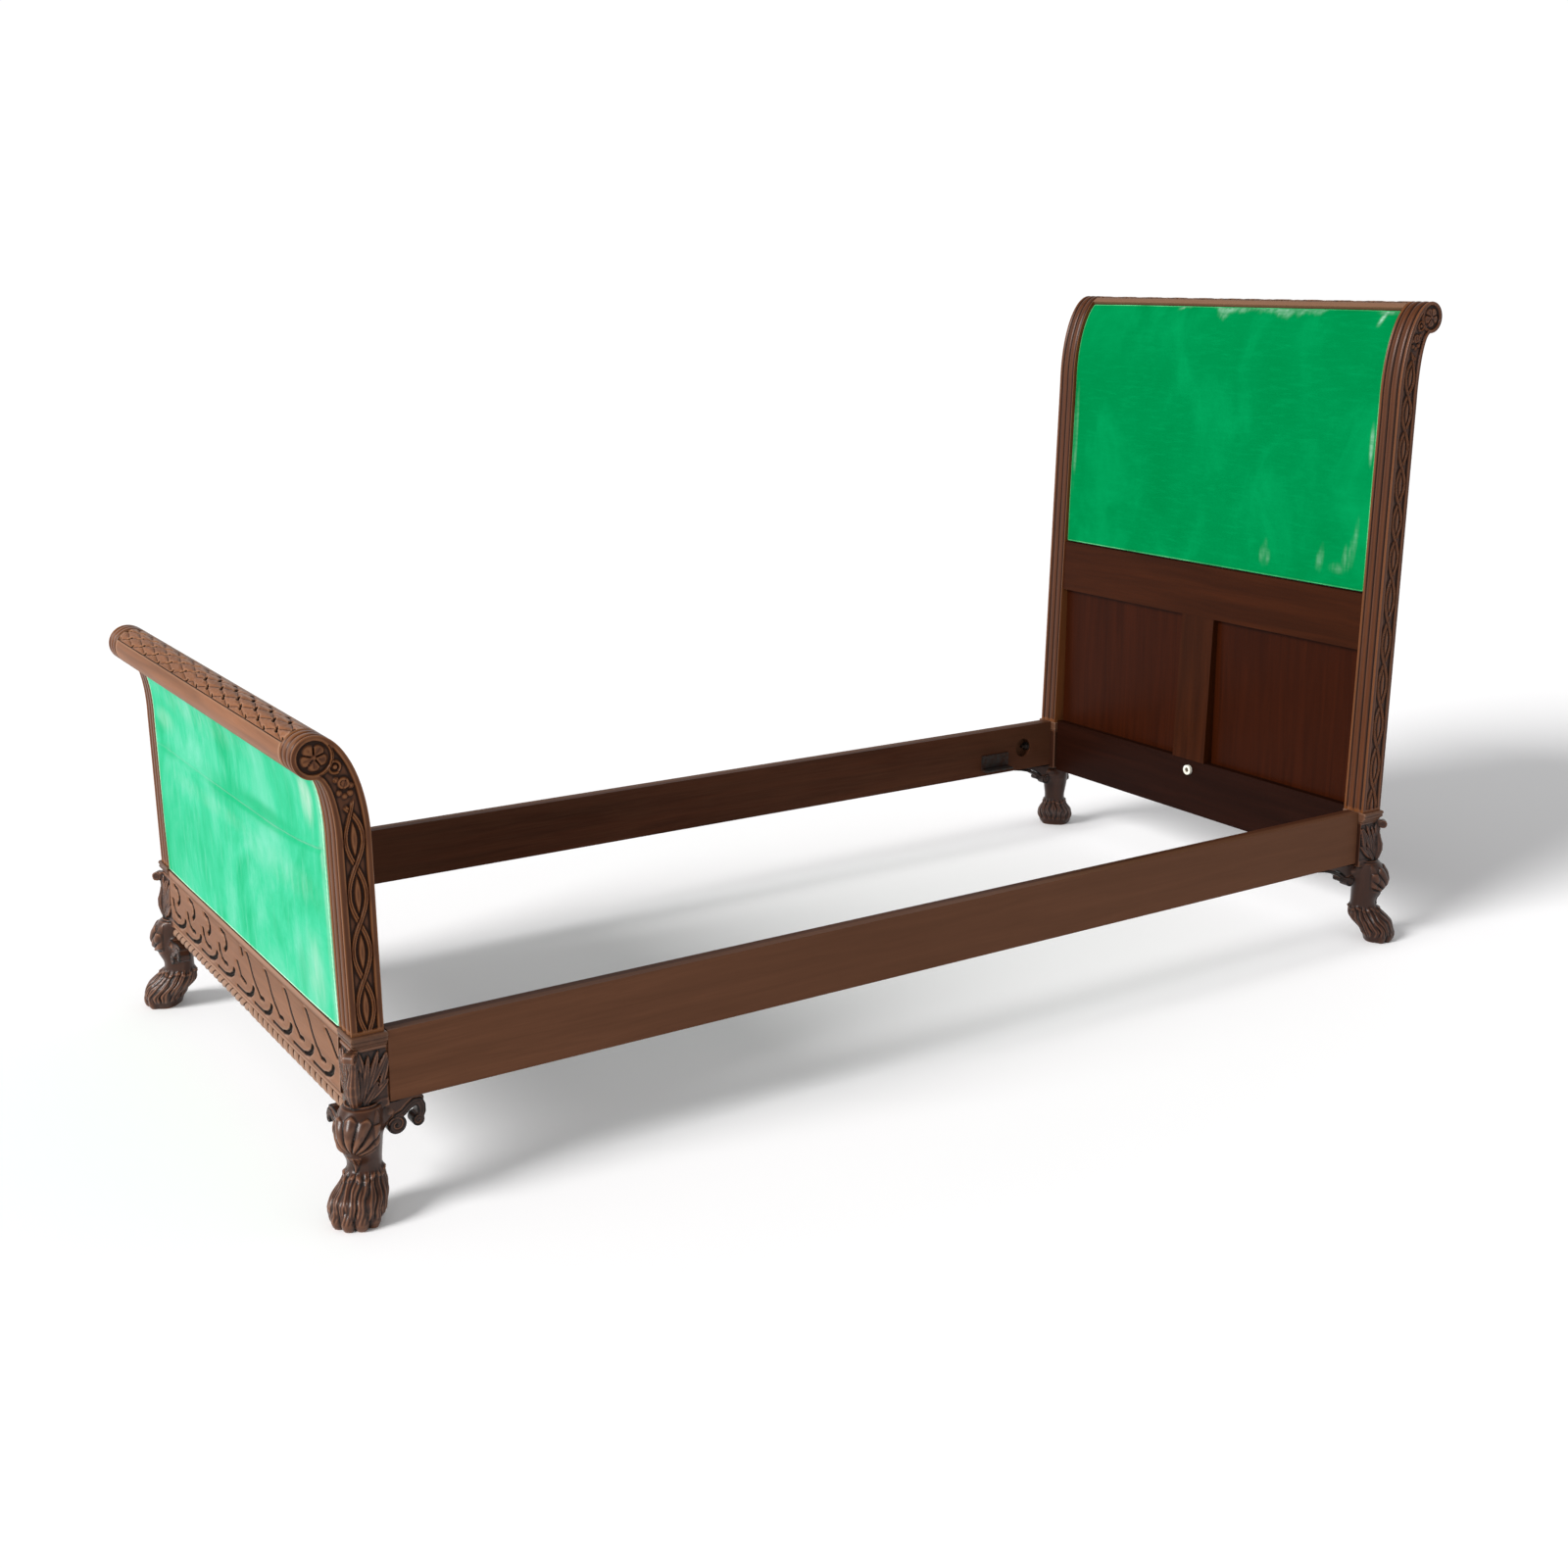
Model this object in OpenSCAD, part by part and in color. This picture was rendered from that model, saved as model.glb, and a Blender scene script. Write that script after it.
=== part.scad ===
// Single sleigh bed: scrolled headboard and footboard on carved cabriole legs,
// joined by two bolted side rails. Millimetres. +X points to the head end,
// +Y across the bed, +Z up. The origin is on the floor under the middle of the
// bed's overall box.

/* [Bed] */
// Clear length of a side rail between the corner blocks
rail_l = 1905; // [1850:5:2000]
// Overall width across the outer faces of the side rails
rail_w = 915; // [880:5:960]
// Height of a side rail
rail_h = 100; // [90:1:110]
// Thickness of a side rail
rail_t = 26; // [22:1:30]
// Height of the rails' lower edge above the floor
rail_z = 156; // [150:1:160]

/* [Footboard] */
// Half width over the footboard stiles
foot_hw = 455; // [440:1:470]
// Height of the centre of the foot scroll
foot_zc = 635.5; // [600:0.5:680]
// Radius of the foot scroll
foot_r = 29; // [26:0.5:32]

/* [Headboard] */
// Half width over the headboard stiles
head_hw = 466; // [450:1:480]
// Height of the centre of the head scroll
head_zc = 1175; // [1120:1:1230]
// Radius of the head scroll
head_r = 28.5; // [26:0.5:32]

/* [Timber] */
// Width of a stile across its reeded face
stile_w = 46; // [42:1:50]
// Thickness of the upholstery pads
pad_t = 12; // [8:1:16]
// Top of the ledge caps and of the side rails
ledge_z = 256; // [250:1:262]
// Thickness of the ledge caps
ledge_t = 18; // [14:1:22]
// Radius of each foot's flat pad
pad_r = 26; // [20:1:30]

/* [Hidden] */
$fn = 48;

xo = -10.5;              // shifts the bed so that its overall box is centred
x0 = rail_l / 2;         // inner face of every corner block
wood = [0.36, 0.16, 0.09];
dark = [0.25, 0.11, 0.07];
iron = [0.22, 0.21, 0.20];

// ---- board profiles, in u (outboard of the bed's middle) and z ----
// foot end
f_in0 = x0 + 3.5;  f_in1 = x0 + 8.5;    // bed side of the stile, base and shoulder
f_out0 = x0 + 48;  f_out1 = x0 + 54.5;  // outer side of the stile
f_xc = x0 + 78;                         // scroll centre
f_z1 = 512;                             // height where the lean turns into the roll
// head end
h_in0 = x0 + 1;    h_in1 = x0 + 24.5;
h_out0 = x0 + 51;  h_out1 = x0 + 73.5;
h_xc = x0 + 99.5;
h_z1 = 1020;

// fastenings
bolt_y = rail_w / 2 - rail_t + 10;      // bed bolts' distance from the bed's middle plane
bolt_z = rail_z + 50;
pocket_x = rail_l / 2 - 80;             // centre of each nut's pocket
lug_x = 790;                            // centre of each base lug

NS = 16;  // steps round each roll
// convex (bed) side: t 0..1 is the lean, 1..2 the roll; d offsets into the board
function cvx(e, t, d) =
  let (i0 = e ? h_in0 : f_in0, i1 = e ? h_in1 : f_in1, xc = e ? h_xc : f_xc,
       z1 = e ? h_z1 : f_z1, zc = e ? head_zc : foot_zc, r = e ? head_r : foot_r,
       a = xc - i1, b = zc + r - z1, q = (t - 1) * 90)
  t <= 1 ? [i0 + (i1 - i0) * t + d, ledge_z + (z1 - ledge_z) * t]
         : let (nx = -cos(q) / a, nz = sin(q) / b, n = sqrt(nx * nx + nz * nz))
           [xc - a * cos(q) - d * nx / n, z1 + b * sin(q) - d * nz / n];
// concave (outer) side
function ccv(e, t, d) =
  let (o0 = e ? h_out0 : f_out0, o1 = e ? h_out1 : f_out1, xc = e ? h_xc : f_xc,
       z1 = e ? h_z1 : f_z1, zc = e ? head_zc : foot_zc, r = e ? head_r : foot_r,
       a = xc - o1, b = zc - r - z1, q = (t - 1) * 90)
  t <= 1 ? [o0 + (o1 - o0) * t - d, ledge_z + (z1 - ledge_z) * t]
         : let (nx = -cos(q) / a, nz = sin(q) / b, n = sqrt(nx * nx + nz * nz))
           [xc - a * cos(q) + d * nx / n, z1 + b * sin(q) + d * nz / n];

function cvx_run(e, t0, t1, d, n = NS) = [for (i = [0:n]) cvx(e, t0 + (t1 - t0) * i / n, d)];
function ccv_run(e, t0, t1, d, n = NS) = [for (i = [0:n]) ccv(e, t0 + (t1 - t0) * i / n, d)];
// t at a height, on the leaning part
function t_of(e, z) = (z - ledge_z) / ((e ? h_z1 : f_z1) - ledge_z);

// stands a profile up and runs it along Y from y0 to y1; e = 1 head, 0 foot
module run_y(e, y0, y1) {
  translate([xo, 0, 0]) mirror([e ? 0 : 1, 0, 0])
    translate([0, y1, 0]) rotate([90, 0, 0]) linear_extrude(y1 - y0) children();
}
// a cylinder along Y at (u, z)
module rod_y(e, u, z, r, y0, y1) {
  translate([xo, 0, 0]) mirror([e ? 0 : 1, 0, 0])
    translate([u, y1, z]) rotate([90, 0, 0]) cylinder(r = r, h = y1 - y0);
}
// a block from (u0, y0, z0) to (u1, y1, z1)
module blk(e, u0, u1, y0, y1, z0, z1) {
  translate([xo, 0, 0]) mirror([e ? 0 : 1, 0, 0])
    translate([u0, y0, z0]) cube([u1 - u0, y1 - y0, z1 - z0]);
}

// ---- stiles: a leaning board with reeds on its face and a scroll at the top ----
module stile(e, side) {
  hw = e ? head_hw : foot_hw;
  y0 = side < 0 ? -hw : hw - stile_w;
  zc = e ? head_zc : foot_zc;
  r = e ? head_r : foot_r;
  xc = e ? h_xc : f_xc;
  // the reeds lie between these cuts, counted from the outer side face
  cuts = [0, 8, 24.3, 40, stile_w];
  n = len(cuts) - 1;
  color(wood) difference() {
    union() {
      run_y(e, y0, y0 + stile_w)
        polygon(concat([cvx(e, 0, e ? 1.5 : 0)], cvx_run(e, 1, 2, e ? 1.5 : 0),
                       [for (i = [NS:-1:0]) ccv(e, 1 + i / NS, e ? 0 : 1.5)],
                       [ccv(e, 0, e ? 0 : 1.5)]));
      // reeds
      for (i = [0:n - 1]) let (c0 = cuts[i] + 1, c1 = cuts[i + 1] - 1)
        run_y(e, side < 0 ? -hw + c0 : hw - c1, side < 0 ? -hw + c1 : hw - c0)
          polygon(e ? concat([cvx(e, 0, 0)], cvx_run(e, 1, 2, 0), [[xc, zc], cvx(e, 1, 6), cvx(e, 0, 6)])
                    : concat([ccv(e, 0, 6)], ccv_run(e, 1, 2, 6),
                             [for (i = [NS:-1:0]) ccv(e, 1 + i / NS, 0)], [ccv(e, 0, 0)]));
      rod_y(e, xc, zc, r - 1.5, y0, y0 + stile_w);
      for (i = [0:n - 1]) let (c0 = cuts[i] + 1, c1 = cuts[i + 1] - 1)
        rod_y(e, xc, zc, r, side < 0 ? -hw + c0 : hw - c1, side < 0 ? -hw + c1 : hw - c0);
      // tenon into the corner block
      blk(e, x0 + 16, x0 + 34, y0 + 12, y0 + 34, ledge_z - 40, ledge_z + 1);
    }
    // sunk round in the scroll's outer end
    rod_y(e, xc, zc, r - 5, side < 0 ? y0 - 1 : y0 + stile_w - 3, side < 0 ? y0 + 3 : y0 + stile_w + 1);
    // mortises for the panel boards, mid rail and crest
    if (e) blk(1, x0 + 24, x0 + 34, side < 0 ? y0 + stile_w - 18 : y0 - 1,
               side < 0 ? y0 + stile_w + 1 : y0 + 18, 580, 650);
    // crest tenon mortise
    rod_y(e, xc, zc, 10, side < 0 ? y0 + stile_w - 22 : y0 - 1, side < 0 ? y0 + stile_w + 1 : y0 + 22);
  }
}

// ---- crest rails: the roll between two stiles, with a web down behind the pad ----
module crest(e) {
  hw = (e ? head_hw : foot_hw) - stile_w;
  zc = e ? head_zc : foot_zc;
  xc = e ? h_xc : f_xc;
  r = e ? head_r : foot_r;
  te = e ? 1.772 : 2;
  color(wood) union() {
    run_y(e, -hw, hw)
      polygon(e ? concat(cvx_run(1, te, 2, 0, 6),
                         [for (i = [NS:-2:6]) ccv(1, 1 + i / NS, 0)],
                         [for (i = [0:8]) cvx(1, 1.4 + (te - 1.4) * i / 8, pad_t + 4)])
                : concat(cvx_run(0, 1.2, 2, 0), [[xc, zc]],
                         [for (t = [1.78, 1.62, 1.48, 1.34, 1.2]) ccv(0, t, pad_t + 5)]));
    rod_y(e, xc, zc, r, -hw, hw);
    rod_y(e, xc, zc, 9.8, -hw - 20, hw + 20);
  }
}

// ---- corner leg: block, knee, ankle and paw, in one piece of timber ----
module leg(e, side) {
  hw = e ? head_hw : foot_hw;
  bx = e ? 51 : 48;
  cu = x0 + bx / 2;
  cy = side * (hw - 24);
  color(wood) difference() {
    union() {
      blk(e, x0, x0 + bx, cy - 24, cy + 24, 150, ledge_z - ledge_t);
      translate([xo, 0, 0]) mirror([e ? 0 : 1, 0, 0])
        translate([cu, cy, 0]) rotate([0, 0, side * 45]) {
          // knee
          hull() {
            translate([-2, 0, 138]) cylinder(h = 14, r = 31, $fn = 32);
            translate([24, 0, 121]) sphere(r = 33, $fn = 32);
          }
          // shin
          hull() {
            translate([22, 0, 112]) sphere(r = 29, $fn = 32);
            translate([13.5, 0, 74]) sphere(r = 22.5, $fn = 32);
          }
          hull() {
            translate([13.5, 0, 74]) sphere(r = 22.5, $fn = 32);
            translate([20, 0, 46]) sphere(r = 29, $fn = 32);
          }
          // paw
          hull() {
            translate([32, 0, 31]) sphere(r = 30, $fn = 32);
            translate([46, 20, 24]) sphere(r = 17, $fn = 24);
            translate([46, -20, 24]) sphere(r = 17, $fn = 24);
            translate([57, 0, 25]) sphere(r = 17, $fn = 24);
          }
          translate([41, 0, 0]) cylinder(h = 14, r = pad_r);
          // leaf on the corner, and its volute
          translate([26, 0, 0]) rotate_extrude()
            polygon([[0, 152], [8, 156], [13, 176], [14, 190], [10, 210], [11, 222], [13, 230], [13, 238], [0, 238]]);
          translate([43, 8, 230]) rotate([90, 0, 0]) cylinder(h = 16, r = 7);
        }
    }
    // mortise for the stile's tenon
    blk(e, x0 + 15.5, x0 + 34.5, cy + side * 1 - 11.5, cy + side * 1 + 11.5, ledge_z - 41, ledge_z + 1);
    // flats that the ear brackets are glued to
    blk(e, x0 - 70, x0 - 0.8, side * (rail_w / 2 - 13) - 14, side * (rail_w / 2 - 13) + 14, 96, 156);
    if (!e) blk(0, x0 + 20, x0 + 46, side < 0 ? -hw + 48.8 : hw - 120, side < 0 ? -hw + 120 : hw - 48.8, 78, 132.4);
    // mortise for the side rail's stub tenon
    blk(e, x0 - 1, x0 + 12, side * bolt_y - 6.5, side * bolt_y + 6.5, rail_z + 14, rail_z + 72);
    // hole for the bed bolt's shank
    translate([xo + (e ? x0 - 1 : -x0 - 45), side * bolt_y, bolt_z])
      rotate([0, 90, 0]) cylinder(r = 4, h = 46);
    // mortise for the cross rail's tenon
    blk(e, x0 + 18, x0 + 32, side < 0 ? cy + 6 : cy - 25, side < 0 ? cy + 25 : cy - 6, 168, 210);
  }
}

// ---- scrolled ear brackets beside each knee ----
module ear2d() {
  polygon([[0, 0], [56, 0], [58, -8], [50, -22], [43, -28], [36, -24], [30, -14], [22, -26],
           [12, -44], [2, -46], [0, -45]]);
}
// along the side rail
module ear_rail(e, side) {
  y = side < 0 ? -rail_w / 2 + 2 : rail_w / 2 - 2 - 22;
  color(wood) translate([xo, 0, 0]) mirror([e ? 0 : 1, 0, 0])
    translate([x0 - 1, y + 22, rail_z - 0.2]) rotate([90, 0, 0]) mirror([1, 0, 0]) union() {
      linear_extrude(22) ear2d();
      translate([46, -18, 0]) cylinder(r = 10, h = 22);
      translate([11.5, -34, 0]) cylinder(r = 11, h = 22);
    }
}
// along the end of the bed
module ear_end(e, side) {
  hw = e ? head_hw : foot_hw;
  u = x0 + 22;
  color(wood) translate([xo, 0, 0]) mirror([e ? 0 : 1, 0, 0]) mirror([0, side < 0 ? 1 : 0, 0])
    translate([u, hw - 49, 131.8]) rotate([90, 0, 90]) mirror([1, 0, 0]) union() {
      linear_extrude(22) ear2d();
      translate([46, -18, 0]) cylinder(r = 10, h = 22);
      translate([11.5, -34, 0]) cylinder(r = 11, h = 22);
    }
}

// ---- footboard ----
module foot_leg_near() leg(0, -1);
module foot_leg_far() leg(0, 1);
module foot_ear_brackets() for (s = [-1, 1]) { ear_rail(0, s); ear_end(0, s); }
module foot_stile_near() stile(0, -1);
module foot_stile_far() stile(0, 1);
module foot_crest_rail() crest(0);
// curved board that the pad is laid on; its other face is the bed side
module foot_back_panel() {
  hw = foot_hw - stile_w;
  color(wood) run_y(0, -hw, hw)
    polygon(concat([cvx(0, t_of(0, 252.2), 5)], [for (i = [0:6]) cvx(0, 1 + 0.4 * i / 6, 5)],
                   [for (i = [2:-1:0]) ccv(0, 1 + 0.17 * i / 2, pad_t + 4)], [ccv(0, t_of(0, 252.2), pad_t + 4)]));
}
module foot_velvet_panel() {
  hw = foot_hw - stile_w - 1;
  color([0.40, 0.90, 0.72]) run_y(0, -hw, hw)
    polygon(concat([ccv(0, t_of(0, 252.6), -1.5)], [for (i = [0:12]) ccv(0, 1 + 0.79 * i / 12, -1.5)],
                   [for (i = [12:-1:0]) ccv(0, 1 + 0.79 * i / 12, pad_t + 3.8)], [ccv(0, t_of(0, 252.6), pad_t + 3.8)]));
}
// narrow braid laid round the pad's edge
module foot_gimp() {
  hw = foot_hw - stile_w - 1;
  color([0.62, 0.95, 0.84]) union() {
    for (s = [-1, 1])
      run_y(0, s < 0 ? -hw : hw - 8, s < 0 ? -hw + 8 : hw)
        polygon(concat([ccv(0, t_of(0, 252.6), -3)], [for (i = [0:12]) ccv(0, 1 + 0.79 * i / 12, -3)],
                       [for (i = [12:-1:0]) ccv(0, 1 + 0.79 * i / 12, -1.5)], [ccv(0, t_of(0, 252.6), -1.5)]));
    run_y(0, -hw + 8, hw - 8)
      polygon([ccv(0, t_of(0, 252.6), -3), ccv(0, t_of(0, 260.6), -3), ccv(0, t_of(0, 260.6), -1.5), ccv(0, t_of(0, 252.6), -1.5)]);
  }
}
// carved cross rail under the pad
module foot_frieze_rail() {
  hw = foot_hw - 48;
  color(wood) union() {
    blk(0, x0 + 12, x0 + 50, -hw, hw, 152, ledge_z - 4);
    blk(0, x0 + 18.5, x0 + 31.5, -hw - 17, hw + 17, 169, 209);
  }
}
module foot_ledge_caps() {
  hw = foot_hw + 7;
  y1 = foot_hw - stile_w / 2;
  color(wood) for (s = [-1, 1]) difference() {
    blk(0, x0, x0 + 52, s < 0 ? -hw : foot_hw - stile_w + 0.2, s < 0 ? -foot_hw + stile_w - 0.2 : hw, ledge_z - ledge_t, ledge_z);
    blk(0, x0 + 15.5, x0 + 34.5, s * y1 - 11.5, s * y1 + 11.5, ledge_z - ledge_t - 1, ledge_z + 1);
  }
}
// slanting bead along the lower edge
module foot_gadroon() {
  hw = foot_hw - 48;
  color(wood) union() {
    blk(0, x0 + 22, x0 + 40, -hw, hw, 132, 152);
    rod_y(0, x0 + 40, 142, 10, -hw, hw);
  }
}

// ---- headboard ----
module head_leg_near() leg(1, -1);
module head_leg_far() leg(1, 1);
module head_ear_brackets() for (s = [-1, 1]) ear_rail(1, s);
module head_stile_near() stile(1, -1);
module head_stile_far() stile(1, 1);
module head_crest_rail() crest(1);
module head_back_panel() {
  hw = head_hw - stile_w;
  color(wood) run_y(1, -hw, hw)
    polygon(concat([cvx(1, t_of(1, 669), pad_t + 4)], [for (i = [0:4]) cvx(1, 1 + 0.39 * i / 4, pad_t + 4)],
                   [for (i = [3:-1:0]) ccv(1, 1 + 0.355 * i / 3, 6)], [ccv(1, t_of(1, 669), 6)]));
}
module head_velvet_panel() {
  hw = head_hw - stile_w - 1;
  color([0.0, 0.62, 0.33]) run_y(1, -hw, hw)
    polygon(concat([cvx(1, t_of(1, 669.5), 4)], [for (i = [0:12]) cvx(1, 1 + 0.765 * i / 12, 4)],
                   [for (i = [12:-1:0]) cvx(1, 1 + 0.765 * i / 12, pad_t + 3.8)],
                   [cvx(1, t_of(1, 669.5), pad_t + 3.8)]));
}
module head_gimp() {
  hw = head_hw - stile_w - 1;
  color([0.45, 0.75, 0.50]) union() {
    for (s = [-1, 1])
      run_y(1, s < 0 ? -hw : hw - 8, s < 0 ? -hw + 8 : hw)
        polygon(concat([cvx(1, t_of(1, 669.5), 2.5)], [for (i = [0:12]) cvx(1, 1 + 0.765 * i / 12, 2.5)],
                       [for (i = [12:-1:0]) cvx(1, 1 + 0.765 * i / 12, 4)], [cvx(1, t_of(1, 669.5), 4)]));
    run_y(1, -hw + 8, hw - 8)
      polygon([cvx(1, t_of(1, 669.5), 2.5), cvx(1, t_of(1, 677.5), 2.5), cvx(1, t_of(1, 677.5), 4),
               cvx(1, t_of(1, 669.5), 4)]);
    run_y(1, -hw + 8, hw - 8)
      polygon([cvx(1, 1.73, 2.5), cvx(1, 1.765, 2.5), cvx(1, 1.765, 4), cvx(1, 1.73, 4)]);
  }
}
module head_mid_rail() {
  hw = head_hw - stile_w;
  color(wood) difference() {
    union() {
      run_y(1, -hw, hw)
        polygon([cvx(1, t_of(1, 562), 2), cvx(1, t_of(1, 668), 2), cvx(1, t_of(1, 668), 34), cvx(1, t_of(1, 562), 34)]);
      blk(1, x0 + 24.5, x0 + 33.5, -hw - 17, hw + 17, 581, 649);
    }
    // groove for the panels and the muntin's tenon
    blk(1, x0 + 24, x0 + 36, -hw - 1, hw + 1, 561, 572);
  }
}
module head_muntin() {
  color(wood) union() {
    run_y(1, -45, 45)
      polygon([cvx(1, t_of(1, 260.2), 3), cvx(1, t_of(1, 561.8), 3), cvx(1, t_of(1, 561.8), 30), cvx(1, t_of(1, 260.2), 38)]);
    blk(1, x0 + 24.5, x0 + 35.5, -30, 30, 251, 571.5);
  }
}
module hpanel(y0, y1) {
  color(wood) blk(1, x0 + 26, x0 + 34, y0, y1, 252, 571);
}
module head_panel_near() hpanel(-(head_hw - stile_w) + 0.5, -45.5);
module head_panel_far() hpanel(45.5, head_hw - stile_w - 0.5);
module head_bottom_rail() {
  hw = head_hw - 48;
  color(wood) difference() {
    union() {
      blk(1, x0 + 8, x0 + 42, -hw, hw, 146, 260);
      blk(1, x0 + 18.5, x0 + 31.5, -hw - 17, hw + 17, 169, 209);
    }
    blk(1, x0 + 24, x0 + 36, -hw - 1, hw + 1, 250, 261);
    // pilot hole for the bumper's screw
    translate([xo + x0, 0, 238]) rotate([0, 90, 0]) cylinder(r = 1.6, h = 30);
  }
}
module head_ledge_caps() {
  hw = head_hw + 4;
  y1 = head_hw - stile_w / 2;
  color(wood) for (s = [-1, 1]) difference() {
    blk(1, x0, x0 + 54, s < 0 ? -hw : head_hw - 48, s < 0 ? -head_hw + 48 : hw, ledge_z - ledge_t, ledge_z);
    blk(1, x0 + 15.5, x0 + 34.5, s * y1 - 11.5, s * y1 + 11.5, ledge_z - ledge_t - 1, ledge_z + 1);
  }
}

// ---- side rails: plain boards with a stub tenon and a bolt pocket at each end ----
module side_rail(side) {
  y0 = side < 0 ? -rail_w / 2 : rail_w / 2 - rail_t;
  color(dark) difference() {
    union() {
      translate([xo - rail_l / 2 + 0.2, y0, rail_z]) cube([rail_l - 0.4, rail_t, rail_h]);
      translate([xo - rail_l / 2 - 11.5, side * bolt_y - 6.2, rail_z + 14.3]) cube([rail_l + 23, 12.4, 57.4]);
    }
    for (s = [-1, 1]) {
      // bolt hole from the rail's end to the pocket
      translate([xo + (s > 0 ? pocket_x : -pocket_x - 95), side * bolt_y, bolt_z])
        rotate([0, 90, 0]) cylinder(r = 4.6, h = 95);
      // round pocket cut from the inner face
      translate([xo + s * pocket_x, side * (bolt_y + 9.5), bolt_z])
        rotate([side < 0 ? -90 : 90, 0, 0]) cylinder(r = 21, h = rail_t);
    }
    // pilot holes for the lug screws
    for (s = [-1, 1], k = [-25, 25])
      translate([xo + s * lug_x + k, side < 0 ? y0 + rail_t + 1 : y0 - 1, 190])
        rotate([side < 0 ? 90 : -90, 0, 0]) cylinder(r = 1.8, h = 19);
  }
}
module side_rail_near() side_rail(-1);
module side_rail_far() side_rail(1);

// ---- fastenings ----
// studs fixed in the blocks, their free ends in the rail pockets
module bed_bolts() color(iron)
  for (sx = [-1, 1], sy = [-1, 1])
    translate([xo + (sx > 0 ? pocket_x + 2 : -x0 - 43), sy * bolt_y, bolt_z])
      rotate([0, 90, 0]) cylinder(r = 3.9, h = x0 + 43 - pocket_x - 2);
module bed_bolt_washers() color(iron)
  for (sx = [-1, 1], sy = [-1, 1])
    translate([xo + sx * (pocket_x + 17.2) - 1, sy * bolt_y, bolt_z])
      rotate([0, 90, 0]) difference() {
        cylinder(r = 8.5, h = 2);
        translate([0, 0, -1]) cylinder(r = 4.2, h = 5);
      }
module bed_bolt_nuts() color(iron)
  for (sx = [-1, 1], sy = [-1, 1])
    translate([xo + sx * (pocket_x + 12.7) - 3.3, sy * bolt_y, bolt_z])
      rotate([0, 90, 0]) difference() {
        cylinder(r = 7.5, h = 6.6, $fn = 6);
        translate([0, 0, -1]) cylinder(r = 4.0, h = 11, $fn = 48);
      }
// iron angles that carry the bed base, screwed inside the rails
module base_lugs() color(iron)
  for (sx = [-1, 1], sy = [-1, 1])
    translate([xo + sx * lug_x, sy * (rail_w / 2 - rail_t), 0]) mirror([0, sy > 0 ? 1 : 0, 0])
      difference() {
        union() {
          translate([-37, 0, 168]) cube([74, 4, 34]);
          translate([-37, 0, 168]) cube([74, 22, 4]);
        }
        for (k = [-25, 25]) translate([k, -1, 190]) rotate([-90, 0, 0]) cylinder(r = 2.2, h = 6);
      }
module lug_screws() color(iron)
  for (sx = [-1, 1], sy = [-1, 1], k = [-25, 25])
    translate([xo + sx * lug_x + k, sy * (rail_w / 2 - rail_t - 4), 190]) mirror([0, sy > 0 ? 0 : 1, 0])
      rotate([-90, 0, 0]) {
        translate([0, 0, -2]) cylinder(r = 4.2, h = 2);
        translate([0, 0, -0.5]) cylinder(r = 1.7, h = 20);
      }
// round bumper at the middle of the head's bottom rail
module bumper_disc() color([0.9, 0.88, 0.82])
  translate([xo + x0 + 8 - 6, 0, 238]) rotate([0, 90, 0]) difference() {
    cylinder(r = 10, h = 6);
    translate([0, 0, -1]) cylinder(r = 2.1, h = 8);
    translate([0, 0, -1]) cylinder(r = 5, h = 3);
  }
module bumper_screw() color(iron)
  translate([xo + x0 + 8 - 4, 0, 238]) rotate([0, 90, 0]) {
    translate([0, 0, -1.2]) cylinder(r = 4.2, h = 1.2);
    translate([0, 0, -0.5]) cylinder(r = 1.5, h = 24);
  }

foot_leg_near();
foot_leg_far();
foot_ear_brackets();
foot_stile_near();
foot_stile_far();
foot_crest_rail();
foot_back_panel();
foot_velvet_panel();
foot_gimp();
foot_frieze_rail();
foot_ledge_caps();
foot_gadroon();
head_leg_near();
head_leg_far();
head_ear_brackets();
head_stile_near();
head_stile_far();
head_crest_rail();
head_back_panel();
head_velvet_panel();
head_gimp();
head_mid_rail();
head_muntin();
head_panel_near();
head_panel_far();
head_bottom_rail();
head_ledge_caps();
side_rail_near();
side_rail_far();
bed_bolts();
bed_bolt_nuts();
bed_bolt_washers();
base_lugs();
lug_screws();
bumper_disc();
bumper_screw();
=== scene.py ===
import math

import bpy
import numpy as np
from mathutils import Matrix, Vector


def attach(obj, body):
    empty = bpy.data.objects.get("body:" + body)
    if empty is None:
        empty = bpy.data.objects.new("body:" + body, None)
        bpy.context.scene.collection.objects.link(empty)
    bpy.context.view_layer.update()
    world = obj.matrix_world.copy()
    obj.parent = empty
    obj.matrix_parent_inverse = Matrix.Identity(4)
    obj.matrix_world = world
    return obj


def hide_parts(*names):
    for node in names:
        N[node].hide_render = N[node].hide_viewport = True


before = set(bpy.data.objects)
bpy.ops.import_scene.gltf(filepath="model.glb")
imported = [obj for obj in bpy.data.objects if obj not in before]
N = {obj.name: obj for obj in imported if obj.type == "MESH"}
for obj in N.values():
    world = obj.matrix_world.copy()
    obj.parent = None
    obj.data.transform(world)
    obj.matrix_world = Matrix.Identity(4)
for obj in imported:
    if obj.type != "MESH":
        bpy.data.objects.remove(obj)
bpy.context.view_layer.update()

XO = -10.5          # the middle of the rails in the part's frame, mm

# ---------------------------------------------------------------- the ends' profiles, mm, as in the part's source
X0 = 952.5
END = {
    "foot": dict(sx=-1, i0=X0 + 3.5, i1=X0 + 8.5, o0=X0 + 48, o1=X0 + 54.5, xc=X0 + 78, z1=512, zc=635.5, r=29.0, hw=455.0),
    "head": dict(sx=1, i0=X0 + 1, i1=X0 + 24.5, o0=X0 + 51, o1=X0 + 73.5, xc=X0 + 99.5, z1=1020, zc=1175, r=28.5, hw=466.0),
}
LZ = 256.0
STILE = 46.0


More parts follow.
